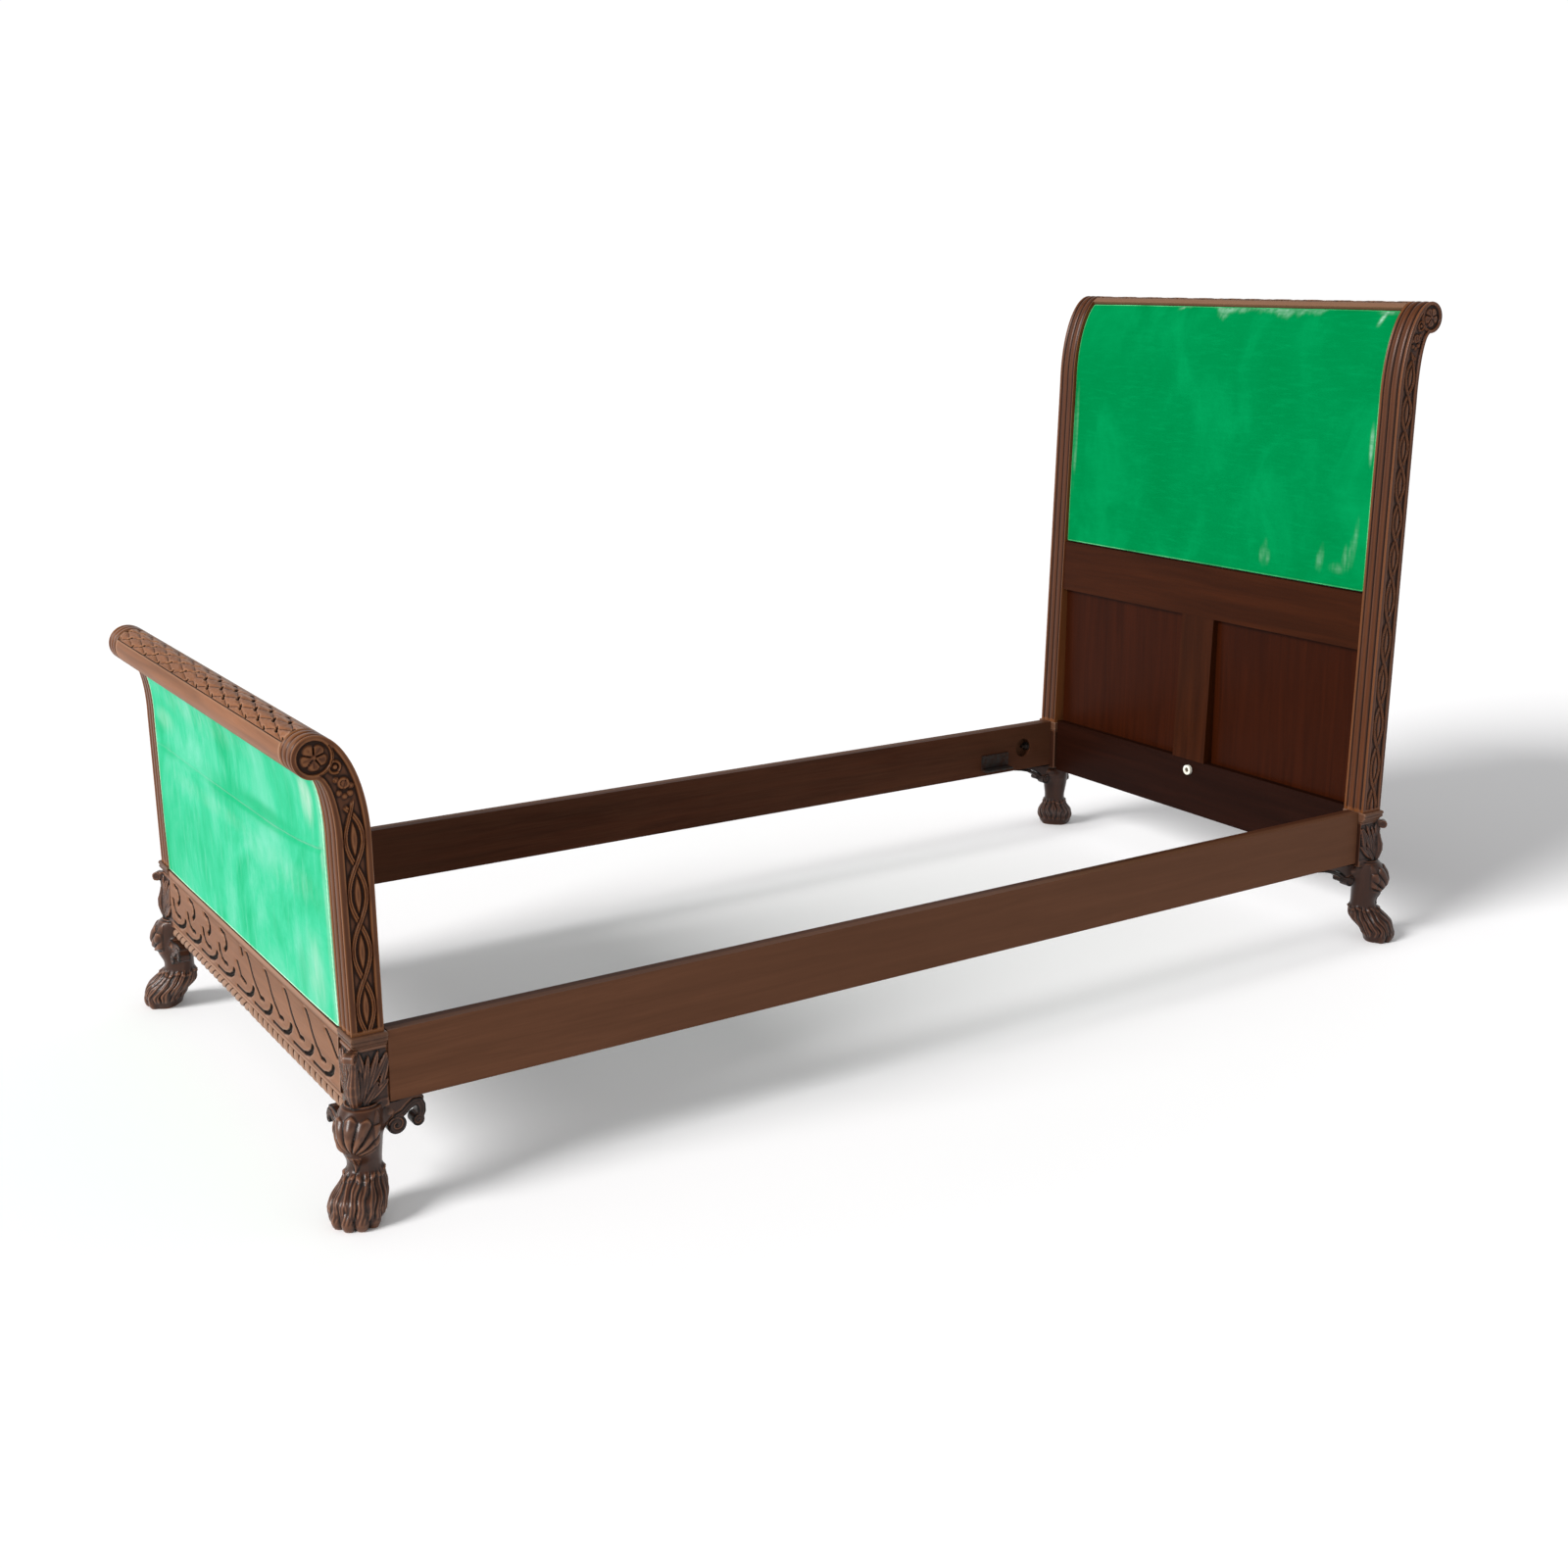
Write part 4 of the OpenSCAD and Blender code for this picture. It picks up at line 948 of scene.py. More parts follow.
        for sy, st_, wy, wt, am in ((-388, 0.66, 2.6, 0.05, 0.75), (-379, 0.63, 2.2, 0.035, 0.6), (-366, 0.615, 2.6, 0.03, 0.7), (-351, 0.59, 9, 0.012, 0.5),
                                    (-310, 0.61, 3, 0.03, 0.6), (-303, 0.60, 2.5, 0.02, 0.5), (-166, 0.60, 3, 0.03, 0.7), (-159, 0.595, 3, 0.02, 0.5), (-174, 0.59, 3, 0.018, 0.5)):
            worn = np.maximum(worn, 0.62 * am * blob(Y + (T - st_) * 60, T, sy, st_, wy * 2.4, wt * 1.2, 0.9) * (0.15 + 0.85 * grain) * (0.3 + 0.7 * streak))
        worn = np.maximum(worn, 0.30 * blob(Y, T, 408, 0.85, 6, 0.14) * streak)
        green = 0.35 * blob(Y, T, 330, 1.4, 140, 0.5) + 0.2 * blob(Y, T, 0, 1.5, 180, 0.1)
        D = D + 0.7 * bump((T - 0.66) * 764 - (Y + 300) * 0.3, 14.0) * blob(Y, T, -330, 0.66, 70, 0.08)
    u, z = curve(e, T, D)
    bu, bz = curve(e, T, 15.7)
    F1 = place(e, u, Y, z)
    B1 = place(e, bu, Y, bz)
    n, m = Y.shape
    V = np.concatenate([F1.reshape(-1, 3), B1.reshape(-1, 3)])
    fa = grid_faces(n, m)
    fb = grid_faces(n, m, flip=True) + n * m
    ring = np.concatenate([np.arange(m - 1), (np.arange(n - 1)) * m + m - 1, (n - 1) * m + np.arange(m - 1, 0, -1), np.arange(n - 1, 0, -1) * m])
    nx = np.roll(ring, -1)
    side = np.stack([ring, nx, nx + n * m, ring + n * m], -1)
    # side faces must run against the front's edges
    Q = np.concatenate([fa, fb, side[:, ::-1]])
    tri = np.concatenate([Q[:, [0, 1, 2]], Q[:, [0, 2, 3]]])
    a, b, c = V[tri[:, 0]], V[tri[:, 1]], V[tri[:, 2]]
    if (a * np.cross(b, c)).sum() < 0:
        Q = Q[:, ::-1]
    o = make("velvet_%s" % kind, V, Q, None, M["velvet_" + kind], angle=70)
    at = o.data.attributes.new("worn", "FLOAT", "POINT")
    at.data.foreach_set("value", np.concatenate([np.clip(worn, 0, 1).ravel(), np.zeros(n * m)]).astype(np.float32))
    at = o.data.attributes.new("green", "FLOAT", "POINT")
    at.data.foreach_set("value", np.concatenate([np.clip(green, 0, 1).ravel(), np.zeros(n * m)]).astype(np.float32))
    done(o, "%s_velvet_panel" % kind, slot="%s_velvet" % kind)
    # braid: a twisted flat cord just inside the edge
    inset = 2.4
    wdt = 1.7
    path = []
    corner = 6.0
    Ssp = S[-1]
    def run(a, b, nn):
        return np.stack([np.linspace(a[0], b[0], nn), np.linspace(a[1], b[1], nn)], -1)
    x0, x1, s0, s1 = -half + inset, half - inset, inset, Ssp - inset
    path = np.concatenate([run((x0, s0), (x1, s0), 330)[:-1], run((x1, s0), (x1, s1), 190)[:-1], run((x1, s1), (x0, s1), 330)[:-1], run((x0, s1), (x0, s0), 190)[:-1]])
    for _ in range(3):
        path = (np.roll(path, 1, 0) + 2 * path + np.roll(path, -1, 0)) / 4
    py, ps = path[:, 0], path[:, 1]
    tang = np.roll(path, -1, 0) - np.roll(path, 1, 0)
    tang /= np.hypot(tang[:, 0], tang[:, 1])[:, None]
    nrm = np.stack([-tang[:, 1], tang[:, 0]], -1)
    dist = np.concatenate([[0], np.cumsum(np.hypot(*np.diff(path, axis=0).T))])
    na = 12
    rows = []
    for i in range(na):
        a = 2 * math.pi * i / na
        tw = 0.28 * np.sin(dist / 2.6 * 2 + a * 2)
        off = (wdt * 0.5 + tw) * math.cos(a)
        hgt = 0.95 * math.sin(a) * (1 + 0.2 * np.sin(dist / 1.3 + a))
        pp = path + nrm * off[:, None]
        tq = np.interp(np.clip(pp[:, 1], 0, Ssp), S, tt)
        eY, eS = half - np.abs(pp[:, 0]), np.minimum(pp[:, 1], Ssp - pp[:, 1])
        ed = np.clip(np.minimum(eY, eS) / 7.0, 0, 1)
        lp = 1 - np.sqrt(np.clip(1 - (1 - ed) ** 2, 0, 1))
        cr = (1 - sm(eY / 150.0)) ** 1.5 * 0.5 + (1 - sm(eS / 120.0)) ** 1.5 * 0.5
        dd = D0 + 3.4 * lp + 2.0 * cr - 0.2 - hgt
        u2, z2 = curve(e, tq, dd)
        rows.append(place(e, u2, pp[:, 0], z2))
    V = np.stack(rows, 1)
    n2, m2 = V.shape[:2]
    o2 = closed("braid_%s" % kind, V.reshape(-1, 3), grid_faces(n2, m2, wrap_n=True, wrap_m=True), None, M["gimp_" + kind])
    done(o2, "%s_gimp" % kind, slot="%s_gimp" % kind)


if True:
    M["crest_foot"] = wood("crest_wood", 1, *tones(158, 102, 66, 1.75, 0.58, 1.4), rough=0.40, hollow=True, coat=0.06, edge=tones(196, 150, 116, 1.5)[1], wear=0.35, blotch=0.3, spec=0.22, deep=0.95, hollow_shade=tones(34, 22, 17, 1.2)[1])
    M["crest_head"] = M["carve_y"]
    M["frieze"] = wood("frieze_wood", 1, *tones(156, 108, 80, 1.85, 0.68, 1.3), rough=0.42, hollow=True, coat=0.04, edge=tones(196, 158, 134, 1.6)[1], wear=0.4, blotch=0.3, spec=0.2, deep=0.8, hollow_shade=tones(60, 40, 32, 1.4)[1])
    M["gadroon"] = wood("gadroon_wood", 1, *tones(84, 52, 36, 1.6, 0.55, 1.5), rough=0.34, hollow=True, coat=0.1, edge=tones(190, 150, 124, 1.4)[1], wear=0.6, blotch=0.3, spec=0.35, deep=0.95, hollow_shade=tones(34, 20, 14, 1.2)[1])
    for kind in ("foot", "head"):
        for side in ("near", "far"):
            stile(kind, side)
        crest(kind)
        pad(kind)
    frieze()
    gadroon()
# PART2 END

# PART3 BEGIN
# ---------------------------------------------------------------- legs and brackets, from distance fields
def nets(F, org, step):
    """surface of F = 0 on a regular grid, one vertex for every cell it crosses; quads face outwards (F > 0)"""
    S = F < 0
    nx, ny, nz = F.shape
    c = np.zeros((nx - 1, ny - 1, nz - 1), np.int8)
    corner = [(i, j, k) for i in (0, 1) for j in (0, 1) for k in (0, 1)]
    for i, j, k in corner:
        c += S[i:nx - 1 + i, j:ny - 1 + j, k:nz - 1 + k]
    act = (c > 0) & (c < 8)
    idx = np.full(act.shape, -1, np.int64)
    I, J, K = np.nonzero(act)
    idx[I, J, K] = np.arange(len(I))
    val = {cc: F[I + cc[0], J + cc[1], K + cc[2]] for cc in corner}
    acc = np.zeros((len(I), 3))
    cnt = np.zeros(len(I))
    for a in corner:
        for ax in range(3):
            if a[ax]:
                continue
            b = list(a)
            b[ax] = 1
            va, vb = val[a], val[tuple(b)]
            m = (va < 0) != (vb < 0)
            t = va[m] / (va[m] - vb[m])
            p = np.tile(np.array(a, float), (len(t), 1))
            p[:, ax] += t
            acc[m] += p
            cnt[m] += 1
    V = (np.stack([I, J, K], -1) + acc / cnt[:, None]) * step + np.asarray(org)
    quads = []
    e = S[:-1, 1:-1, 1:-1] != S[1:, 1:-1, 1:-1]
    i, j, k = np.nonzero(e)
    j, k = j + 1, k + 1
    q = np.stack([idx[i, j - 1, k - 1], idx[i, j, k - 1], idx[i, j, k], idx[i, j - 1, k]], -1)
    quads.append(np.where(S[i, j, k][:, None], q, q[:, ::-1]))
    e = S[1:-1, :-1, 1:-1] != S[1:-1, 1:, 1:-1]
    i, j, k = np.nonzero(e)
    i, k = i + 1, k + 1
    q = np.stack([idx[i - 1, j, k - 1], idx[i - 1, j, k], idx[i, j, k], idx[i, j, k - 1]], -1)
    quads.append(np.where(S[i, j, k][:, None], q, q[:, ::-1]))
    e = S[1:-1, 1:-1, :-1] != S[1:-1, 1:-1, 1:]
    i, j, k = np.nonzero(e)
    i, j = i + 1, j + 1
    q = np.stack([idx[i - 1, j - 1, k], idx[i, j - 1, k], idx[i, j, k], idx[i - 1, j, k]], -1)
    quads.append(np.where(S[i, j, k][:, None], q, q[:, ::-1]))
    return V, np.concatenate(quads)


def join(a, b, k):
    """smooth union"""
    h = np.clip(0.5 + 0.5 * (b - a) / k, 0, 1)
    return b + (a - b) * h - k * h * (1 - h)


LEG_Z = [0, 10, 24, 38, 46, 53, 60, 71, 81, 95, 108, 121, 136, 149, 158, 166]
LEG_B = [20, 17, 12, -3, -9, -10, -10, -9.5, -9, -9, -9, -10, -10, -10, -10, -10]
LEG_F = [60, 67, 72, 69, 61, 54, 45, 37.5, 38, 47, 54, 57, 54, 46, 38, 34]
LEG_W = [28, 34, 37, 35, 30, 26, 23.5, 22, 22.5, 25, 27, 28.5, 29, 28, 25, 24]


def smooth_table(z, tab):
    zz = np.arange(-10, 180, 1.0)
    v = np.interp(zz, LEG_Z, tab)
    for _ in range(14):
        v[1:-1] = 0.25 * v[:-2] + 0.5 * v[1:-1] + 0.25 * v[2:]
    return np.interp(z, zz, v)


def leaf_relief(c, z):
    """acanthus lobes on a face of the block, c from the corner"""
    h = np.zeros_like(c)
    for k, (c0, z0, ang, L, W, hh) in enumerate([(7, 182, 3, 26, 5.2, 5.0), (15, 193, 10, 34, 5.4, 4.8), (24, 199, 19, 33, 5.4, 4.3), (33, 202, 30, 28, 5.2, 3.7),
                                                 (21, 170, 34, 22, 5.0, 4.0), (33, 176, 48, 20, 5.0, 3.4), (42, 200, 16, 26, 4.6, 3.0), (10, 216, -8, 17, 4.6, 3.4)]):
        a = math.radians(ang)
        du = (c - c0) * math.cos(a) - (z - z0) * math.sin(a)
        dv = (c - c0) * math.sin(a) + (z - z0) * math.cos(a)
        r2 = (du / W) ** 2 * (1 + 0.5 * (dv / L + 0.2) ** 2) + (dv / L) ** 2
        lobe = hh * np.clip(1 - r2, 0, 1) ** 0.5 + 0.6 - 1.4 * bump(du, 1.3) * (r2 < 0.9)
        h = np.maximum(h, np.where(r2 < 1, lobe, 0))
    return h - 1.6 * sm((234 - z) / 3) * sm((z - 160) / 4) * (h < 0.3)


def leg_field(e, step):
    bx = 25.5 if e["sx"] > 0 else 24.0
    zt = 237.6
    lo = np.array([-31.0, -31.0, -2.5])
    hi = np.array([70.0, 70.0, zt + 2.5])
    n = np.ceil((hi - lo) / step).astype(int) + 1
    p, q, z = np.meshgrid(*[lo[k] + step * np.arange(n[k]) for k in range(3)], indexing="ij")
    p, q, z = p.astype(np.float32), q.astype(np.float32), z.astype(np.float32)
    s, w = (p + q) / np.sqrt(2), (q - p) / np.sqrt(2)
    zc = np.clip(z, 0, 166)
    b, f, wd = smooth_table(zc, LEG_B), smooth_table(zc, LEG_F), smooth_table(zc, LEG_W)
    sc, a = (b + f) / 2, (f - b) / 2
    # section: rounder in front, squarer behind
    rs, rw = (s - sc) / a, w / wd
    ex = 2.0 + 0.5 * sm(-rs + 0.2)
    r = (np.abs(rs) ** ex + np.abs(rw) ** ex) ** (1 / ex)
    d = (r - 1) * np.minimum(a, wd) * 0.93
    th = np.arctan2(w, s - sc)
    front = sm((np.cos(th) + 0.15) / 0.6)
    # shell on the knee: flutes fanning up from a point, with a scalloped upper edge
    zb = 93.0
    lat = th * 27.0
    ra = np.hypot(lat, z - zb)
    ph = np.arctan2(lat, z - zb)
    fl = np.abs(np.sin(ph * 8.6 + math.pi / 2))
    rim = 56.0 + 2.6 * np.cos(ph * 17.2)
    inside = sm((rim - ra) / 2.0) * sm((ra - 3) / 5) * sm((1.2 - np.abs(ph)) / 0.08) * front
    d -= inside * (4.4 * fl ** 0.7 * sm((ra - 2) / 22) - 0.9)
    d += 1.6 * bump(np.abs(ph) - 1.26, 0.09) * sm((60 - ra) / 4) * sm((ra - 10) / 8) * front
    # border scrolls beside the shell
    d -= 2.0 * np.sqrt(np.clip(1 - ((np.abs(lat) - 35) / 7.0) ** 2 - ((z - 128 + 0.25 * (np.abs(lat) - 35)) / 26.0) ** 2, 0, 1))
    # shoulders that run out to the brackets
    yw = 13.5 if e["sx"] < 0 else 2.5
    def capsule(x0, y0, z0, r0, x1, y1, z1, r1):
        vx, vy, vz = x1 - x0, y1 - y0, z1 - z0
        k = np.clip(((p - x0) * vx + (q - y0) * vy + (z - z0) * vz) / (vx * vx + vy * vy + vz * vz), 0, 1)
        return np.sqrt((p - x0 - k * vx) ** 2 + (q - y0 - k * vy) ** 2 + (z - z0 - k * vz) ** 2) - (r0 + (r1 - r0) * k)
    wing = capsule(-22, yw, 138, 11.5, 4, yw - 3, 118, 13)
    if e["sx"] < 0:
        wing = np.minimum(wing, capsule(20, -20, 118, 10.0, 12, 4, 112, 12))
    d = join(d, wing + 0.5 * np.abs(np.sin(z / 3.4)), 9.0)
    # pointed leaf hanging below the shell
    lw = np.clip((z - 66) / 27.0, 0, 1) * 12.0
    lf = sm((lw - np.abs(lat)) / 2.0) * sm((94 - z) / 3.0) * sm((z - 66) / 4) * front
    d -= lf * (1.5 + 0.8 * bump(lat, 2.0) - 0.6 * (np.abs(np.sin(lat / 2.2 + z * 0.1)) < 0.35))
    # waist under the block
    d += 2.6 * bump(z - 157.5, 2.6)
    # ankle ring of fur, then hair in wavy locks down to the toes
    hz = sm((72 - z) / 10.0) * sm((z - 9.0) / 9.0)
    wob = 2.0 * np.sin(z / 7.0 + 2 * np.sin(th * 3)) * 0.16 + 0.25 * np.sin(z / 3.7 + th * 5)
    lock = np.abs(np.sin(th * 8.5 + wob))
    fine = np.abs(np.sin(th * 21 + 1.7 * wob + z * 0.05))
    d -= hz * (2.9 * lock ** 0.7 + 1.3 * fine - 1.7)
    d -= 1.9 * bump(z - 62 - 2.5 * np.cos(th * 6), 4.0) * (0.4 + 0.6 * lock)
    # toes, with a crease between each pair
    toes = np.full_like(d, 1e3)
    for ang in (-74, -37, 0, 37, 74):
        ta = math.radians(ang)
        tx, tw = 42 + 22.5 * math.cos(ta), 24.5 * math.sin(ta)
        dx, dw, dz = (s - tx), (w - tw), (z - 13.5)
        al, ac = dx * math.cos(ta) + dw * math.sin(ta), -dx * math.sin(ta) + dw * math.cos(ta)
        rr = np.sqrt((al / 13.0) ** 2 + (ac / 11.0) ** 2 + (dz / 17.5) ** 2)
        rr2 = np.sqrt(((al + 5) / 13.0) ** 2 + (ac / 8.6) ** 2 + ((z - 31) / 13.0) ** 2)
        toes = np.minimum(toes, np.minimum((rr - 1) * 9.6, (rr2 - 1) * 8.6))
    toes += 0.9 * (1 - np.abs(np.sin(th * 19 + 1.2 * np.sin(z / 6.0)))) * sm((z - 9) / 8)
    d = join(d, toes, 2.6)
    d = np.where(z < 4, np.maximum(d, (np.hypot(s - 43, w * 0.92) - (34.0 + z * 0.8)) * 0.8), d)
    d = np.maximum(d, (z - 159.0) * 0.8)
    # the block and its corner leaf
    sp, sq = np.abs(p) - bx, np.abs(q) - 24.0
    bw = np.minimum(0, np.maximum(sp, sq)) + np.hypot(np.maximum(sp + 1.4, 0), np.maximum(sq + 1.4, 0)) - 1.4 * ((sp > -1.4) & (sq > -1.4))
    bw = np.where((sp > -1.4) & (sq > -1.4), np.hypot(np.maximum(sp + 1.4, 0), np.maximum(sq + 1.4, 0)) - 1.4, np.maximum(sp, sq))
    onp = (sp > sq) & (p > 0)
    onq = (sq >= sp) & (q > 0)
    rel = np.where(onp, leaf_relief(24.0 - q, z), 0) + np.where(onq, leaf_relief(bx - p, z), 0)
    bw = bw - 0.95 * rel * sm((236 - z) / 3)
    blk_ = np.maximum(bw, np.maximum(150.0 - z, z - zt))
    # stalk on the corner, fluted, ending in a volute
    lean = np.interp(z, [154, 165, 178, 190, 200, 214, 226, 238], [30, 33, 35.5, 36.0, 34.0, 31.5, 32.5, 34])
    rad = np.interp(z, [154, 165, 178, 190, 200, 214, 226, 238], [5.5, 7.5, 9.0, 8.5, 7.0, 6.0, 6.5, 7.5])
    sang = np.arctan2(w, s - lean)
    stalk = np.hypot(s - lean, w) - rad + 0.8 * np.abs(np.sin(sang * 4.0))
    stalk = np.maximum(stalk * 0.9, np.maximum(154 - z, z - zt))
    vr = np.hypot(s - 41.5, z - 229.5)
    va = np.arctan2(z - 229.5, s - 41.5)
    groove = np.cos(2 * math.pi * (vr / 3.6) - va)
    vol = np.maximum(vr - 7.6, np.abs(w) - 7.5 + 0.9 * sm(groove * 0.8 + 0.1) * (vr < 7))
    leaf = np.sqrt(((s - 35 - 0.12 * (190 - z)) / 5.5) ** 2 + (w / 9.5) ** 2 + ((z - 186) / 18.0) ** 2)
    leaf = (leaf - 1) * 5.5 + 0.8 * np.abs(np.sin(w / 2.1))
    d = join(d, blk_, 2.5)
    d = join(d, stalk, 1.2)
    d = join(d, leaf, 1.2)
    d = np.minimum(d, vol)
    d = np.maximum(d, np.maximum(-z, z - zt))
    return d.astype(np.float64), lo


def legs():
    for kind in ("foot", "head"):
        e = END[kind]
        step = 1.15
        F, lo = leg_field(e, step)
        V, Q = nets(F, lo, step)
        bx = 25.5 if kind == "head" else 24.0
        u, y, z = X0 + bx + V[:, 0], e["hw"] - 24.0 + V[:, 1], V[:, 2]
        for side, s in (("near", -1), ("far", 1)):
            W = place(e, u, s * y, z)
            o = closed("leg_%s_%s" % (kind, side), W, Q, None, M["leg" if kind == "foot" else "leg_head"], hollow=12, span=0.62)
            done(o, "%s_leg_%s" % (kind, side), slot="carved_wood")


def stroke(a, z, pts):
    """signed distance to a band that follows points (a, z, radius)"""
    best = np.full(a.shape, 1e3)
    for (a0, z0, r0), (a1, z1, r1) in zip(pts[:-1], pts[1:]):
        vx, vz = a1 - a0, z1 - z0
        L2 = vx * vx + vz * vz
        t = np.clip(((a - a0) * vx + (z - z0) * vz) / L2, 0, 1)
        dd = np.hypot(a - a0 - t * vx, z - z0 - t * vz) - (r0 + (r1 - r0) * t)
        best = np.minimum(best, dd)
    return best


def spiral(a, z, ca, cz, r, turns=3.4, sgn=1):
    rr = np.hypot(a - ca, z - cz)
    an = np.arctan2(z - cz, (a - ca) * sgn)
    g = np.cos(2 * math.pi * rr / (r / turns * 2) - an)
    return rr - r, sm(g * 0.9 - 0.05) * (rr < r - 1.0) * (rr > 2.2)


def ear(kind, which, step=0.95):
    if which == "rail" and kind == "foot":
        top, half = 155.8, 11.0
        band = [(8, 131, 5.0), (17, 134, 5.2), (25, 141, 5.4), (33, 146, 5.6), (40, 145, 6.0), (43, 138, 6.0), (43.5, 130, 5.6), (41, 122, 5.0)]
        webp = [(-10, 137, 16), (4, 137, 16), (16, 142, 12), (30, 149, 7), (41, 149, 6)]
        vol = [(8, 119.5, 13.2, 1), (38, 119, 8.5, -1)]
        amax = 55.0
    elif which == "rail":
        top, half = 155.8, 11.0
        band = [(12, 126, 3.4), (22, 128, 3.4), (30, 134, 3.4), (45, 143, 3.2), (62, 149, 2.8), (80, 153, 2.2), (98, 155, 1.3)]
        webp = [(-10, 140, 14), (4, 138, 15), (18, 144, 10), (40, 151, 4), (80, 155, 1.5)]
        vol = [(5, 121, 10.5, 1), (29, 129, 5.5, -1)]
        amax = 103.0
    else:
        top, half = 131.6, 10.5
        band = [(8, 107, 4.6), (17, 110, 5.0), (25, 117, 5.0), (33, 121.5, 5.2), (40, 121, 5.4), (43, 115, 5.2), (42.5, 109, 4.8)]
        webp = [(-8, 114, 14), (4, 113, 14), (16, 119, 10), (30, 125, 6), (40, 125, 5)]
        vol = [(4.5, 98, 10.0, 1), (40.5, 111, 6.0, -1)]
        amax = 54.0
    zlo = min(v[1] - v[2] for v in vol) - 4
    lo = np.array([-18.0, -14.0, min(zlo, 104.0)])
    hi = np.array([amax, 14.0, top + 3])
    n = np.ceil((hi - lo) / step).astype(int) + 1
    a, t, z = np.meshgrid(*[lo[k] + step * np.arange(n[k]) for k in range(3)], indexing="ij")
    d2 = stroke(a, z, band)
    r = 2.4
    inner = np.clip(-d2 / 3.0, 0, 1)
    th = half - 0.5 + 0.9 * np.sin(math.pi * inner) * 0
    d = np.hypot(np.maximum(d2 + r, 0), np.maximum(np.abs(t) - th + r, 0)) - r
    d = np.where((d2 < -r) & (np.abs(t) < th - r), -r, d)
    # a quirk runs along the middle of the band
    d = d + 1.1 * bump(d2 + 3.2, 0.9) * (np.abs(t) > th - 3)
    web = np.maximum(stroke(a, z, webp), np.abs(t) - (half - 3.0))
    d = np.minimum(d, web)
    for ca, cz, rv, sg in vol:
        dv, gr = spiral(a, z, ca, cz, rv, sgn=sg)
        dv = np.hypot(np.maximum(dv + 1.8, 0), np.maximum(np.abs(t) - half + 1.8, 0)) - 1.8 + 1.7 * gr * (np.abs(t) > half - 4)
        d = np.minimum(d, dv)
        eye = np.sqrt((a - ca) ** 2 + (z - cz) ** 2 + (np.maximum(np.abs(t) - half + 1.5, 0)) ** 2) - 2.4
        d = np.minimum(d, eye)
    d = np.maximum(d, z - top)
    V, Q = nets(d, lo, step)
    return V, Q


def brackets():
    for kind in ("foot", "head"):
        e = END[kind]
        V, Q = ear(kind, "rail")
        for s in (-1, 1):
            W = place(e, X0 - 0.8 - V[:, 0], s * (444.5 + V[:, 1]), V[:, 2])
            o = closed("bracket_%s_rail_%d" % (kind, (s + 1) // 2), W, Q, None, M["leg" if kind == "foot" else "leg_head"], hollow=9, span=0.55)
            done(o, "%s_ear_brackets" % kind, slot="carved_wood")
        if kind == "foot":
            V, Q = ear(kind, "end")
            for s in (-1, 1):
                W = place(e, X0 + 44.5 + V[:, 1], s * (e["hw"] - 46.0 - 1.08 * V[:, 0]), V[:, 2] + 0.0)
                o = closed("bracket_end_%d" % ((s + 1) // 2), W, Q, None, M["leg"], hollow=9, span=0.55)
                done(o, "foot_ear_brackets", slot="carved_wood")


def cap_mesh(u0, u1, y0, y1, step=1.0):
    lo = np.array([u0 - 4.0, y0 - 4.0, 234.0])
    hi = np.array([u1 + 4.0, y1 + 4.0, 260.0])
    n = np.ceil((hi - lo) / step).astype(int) + 1
    u, y, z = np.meshgrid(*[lo[k] + step * np.arange(n[k]) for k in range(3)], indexing="ij")
    inset = np.interp(z, [238.0, 241.0, 242.5, 245.0, 247.5, 248.5, 251.0, 253.5, 256.0], [5.0, 4.6, 3.2, 1.0, 0.6, 1.8, 0.0, 0.0, 1.4])
    du = np.abs(u - (u0 + u1) / 2) - (u1 - u0) / 2 + inset * (u > (u0 + u1) / 2)
    dy = np.abs(y - (y0 + y1) / 2) - (y1 - y0) / 2 + inset * (y > (y0 + y1) / 2)
    d = np.where((du > -2) & (dy > -2), np.hypot(np.maximum(du + 2, 0), np.maximum(dy + 2, 0)) - 2, np.maximum(du, dy))
    d = np.maximum(d, np.abs(z - 247.0) - 8.9)
    return nets(d + 0.0, lo, step)


def caps():
    for kind, u1, yi in (("foot", X0 + 52.0, 409.4), ("head", X0 + 54.0, 418.4)):
        e = END[kind]
        V, Q = cap_mesh(X0 + 0.3, u1, yi, e["hw"] + 7.0)
        for s in (-1, 1):
            o = closed("cap_%s_%d" % (kind, (s + 1) // 2), place(e, V[:, 0], s * V[:, 1], V[:, 2]), Q, None, M["cap"], hollow=8, span=0.9)
            done(o, "%s_ledge_caps" % kind, slot="carved_wood" if kind == "foot" else "flat_wood")


M["cap"] = wood("cap_wood", 1, *tones(92, 62, 46, 1.2, 0.7, 1.3), rough=0.38, hollow=True, coat=0.2, edge=tones(140, 104, 82, 1.3)[1], wear=0.5, blotch=0.4, spec=0.4, deep=0.9, hollow_shade=tones(22, 14, 10, 1.2)[1])
caps()
M["leg_head"] = wood("head_leg_wood", 2, *tones(60, 33, 22, 1.5, 0.5, 1.5), rough=0.34, hollow=True, coat=0.4, edge=tones(104, 66, 46, 1.4)[1], wear=0.6, blotch=0.6, spec=0.6, deep=0.97, hollow_shade=tones(12, 7, 5, 1.3)[1])
M["leg"] = wood("leg_wood", 2, *tones(76, 44, 29, 1.5, 0.5, 1.5), rough=0.32, hollow=True, coat=0.5, edge=tones(142, 96, 70, 1.4)[1], wear=0.7, blotch=0.6, spec=0.7, deep=0.97, hollow_shade=tones(14, 8, 6, 1.3)[1])
legs()
brackets()
# PART3 END

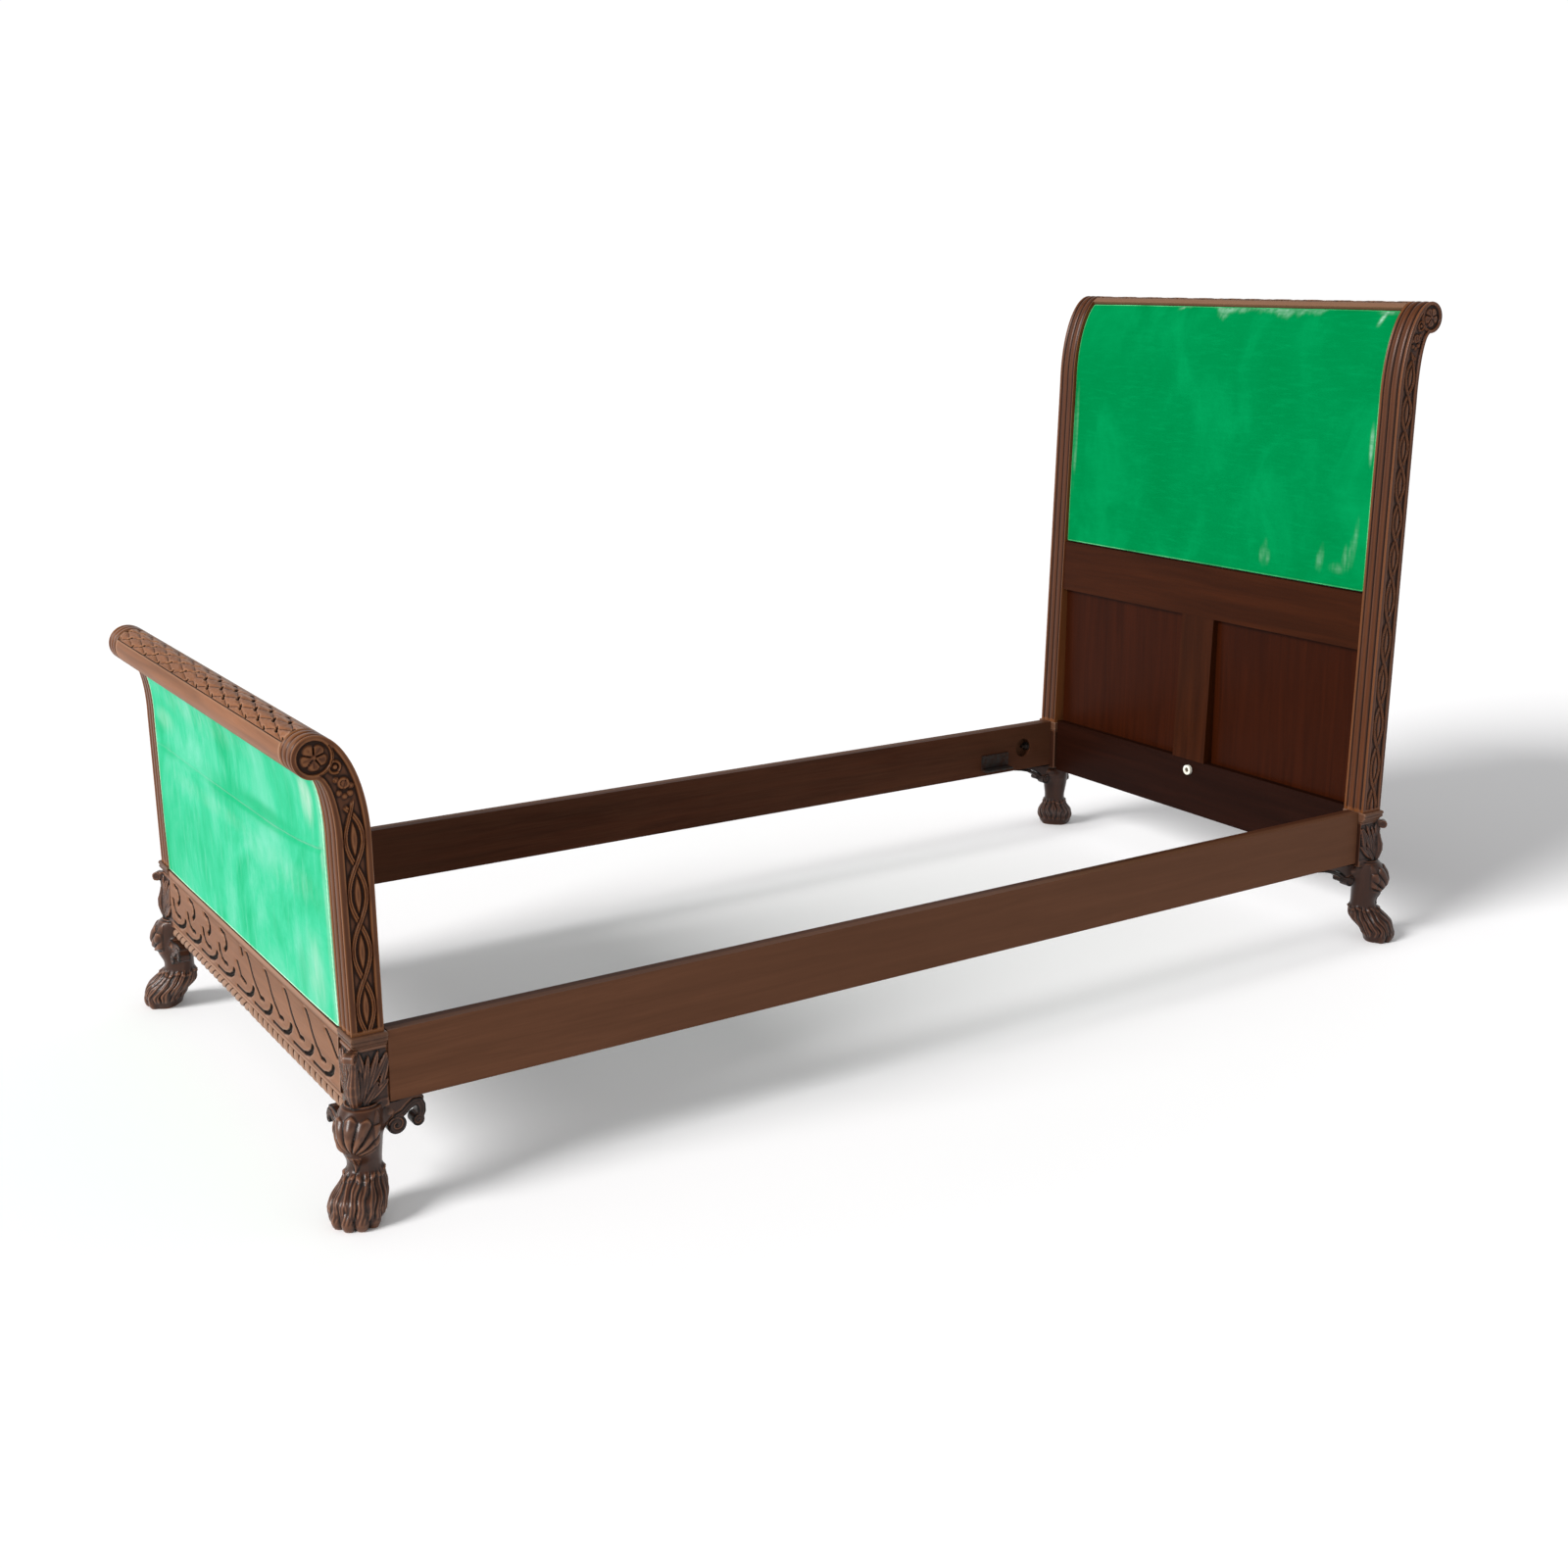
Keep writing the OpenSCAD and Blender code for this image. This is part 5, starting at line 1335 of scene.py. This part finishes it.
# ---------------------------------------------------------------- floor, light and camera
def stage_and_light():
    me = bpy.data.meshes.new("floor")
    s = 14.0
    me.from_pydata([(-s, -s, 0), (s, -s, 0), (s, s, 0), (-s, s, 0)], [], [(0, 1, 2, 3)])
    fl = bpy.data.objects.new("floor", me)
    bpy.context.scene.collection.objects.link(fl)
    g = G("floor_paint")
    v = g.coords((1.5, 1.5, 1.5))
    a = g.noise(v, 1.0, 2, 0.5)
    g.set(Base_Color=g.mix(a, srgb(250, 250, 251), srgb(252, 252, 253)), Roughness=0.95)
    g.p.inputs["Specular IOR Level"].default_value = 0.0
    me.materials.append(g.m)

    w = bpy.data.worlds.new("world")
    bpy.context.scene.world = w
    w.use_nodes = True
    t = w.node_tree
    tc = t.nodes.new("ShaderNodeTexCoord")
    sp = t.nodes.new("ShaderNodeSeparateXYZ")
    mr = t.nodes.new("ShaderNodeMapRange")
    mr.interpolation_type = "SMOOTHSTEP"
    t.links.new(tc.outputs["Generated"], sp.inputs[0])
    t.links.new(sp.outputs[2], mr.inputs[0])
    for i, v in enumerate((0.36, 0.62, 1.03, 0.37)):
        mr.inputs[i + 1].default_value = v
    bg = t.nodes["Background"]
    bg.inputs[0].default_value = (1, 1, 1, 1)
    t.links.new(mr.outputs[0], bg.inputs[1])

    d = bpy.data.lights.new("key", "SUN")
    d.energy = 3.75
    d.angle = math.radians(24)
    d.color = (1.0, 0.99, 0.98)
    o = bpy.data.objects.new("key", d)
    bpy.context.scene.collection.objects.link(o)
    o.rotation_euler = Vector((0.868, 0.03, -0.485)).to_track_quat("-Z", "Y").to_euler()


def camera():
    yaw, pitch, roll = math.radians(54.913), math.radians(-11.86), math.radians(0.623)
    f, cx, cy = 1900.4, 880.1, 690.5
    d = Vector((math.cos(yaw) * math.cos(pitch), math.sin(yaw) * math.cos(pitch), math.sin(pitch)))
    r = d.cross(Vector((0, 0, 1))).normalized()
    u = r.cross(d)
    r2 = r * math.cos(roll) + u * math.sin(roll)
    u2 = -r * math.sin(roll) + u * math.cos(roll)
    m = Matrix(((r2.x, u2.x, -d.x), (r2.y, u2.y, -d.y), (r2.z, u2.z, -d.z)))
    c = bpy.data.cameras.new("camera")
    c.sensor_width = 36.0
    c.lens = f / 1600 * 36
    c.shift_x = (800 - cx) / 1600
    c.shift_y = (cy - 800) / 1600
    c.clip_start, c.clip_end = 0.05, 100
    o = bpy.data.objects.new("camera", c)
    bpy.context.scene.collection.objects.link(o)
    o.matrix_world = Matrix.Translation(Vector((-1766.7 + XO, -2693.0, 1220.6)) * 0.001) @ m.to_4x4()
    bpy.context.scene.camera = o


stage_and_light()
camera()
bpy.context.scene.view_settings.view_transform = "Standard"
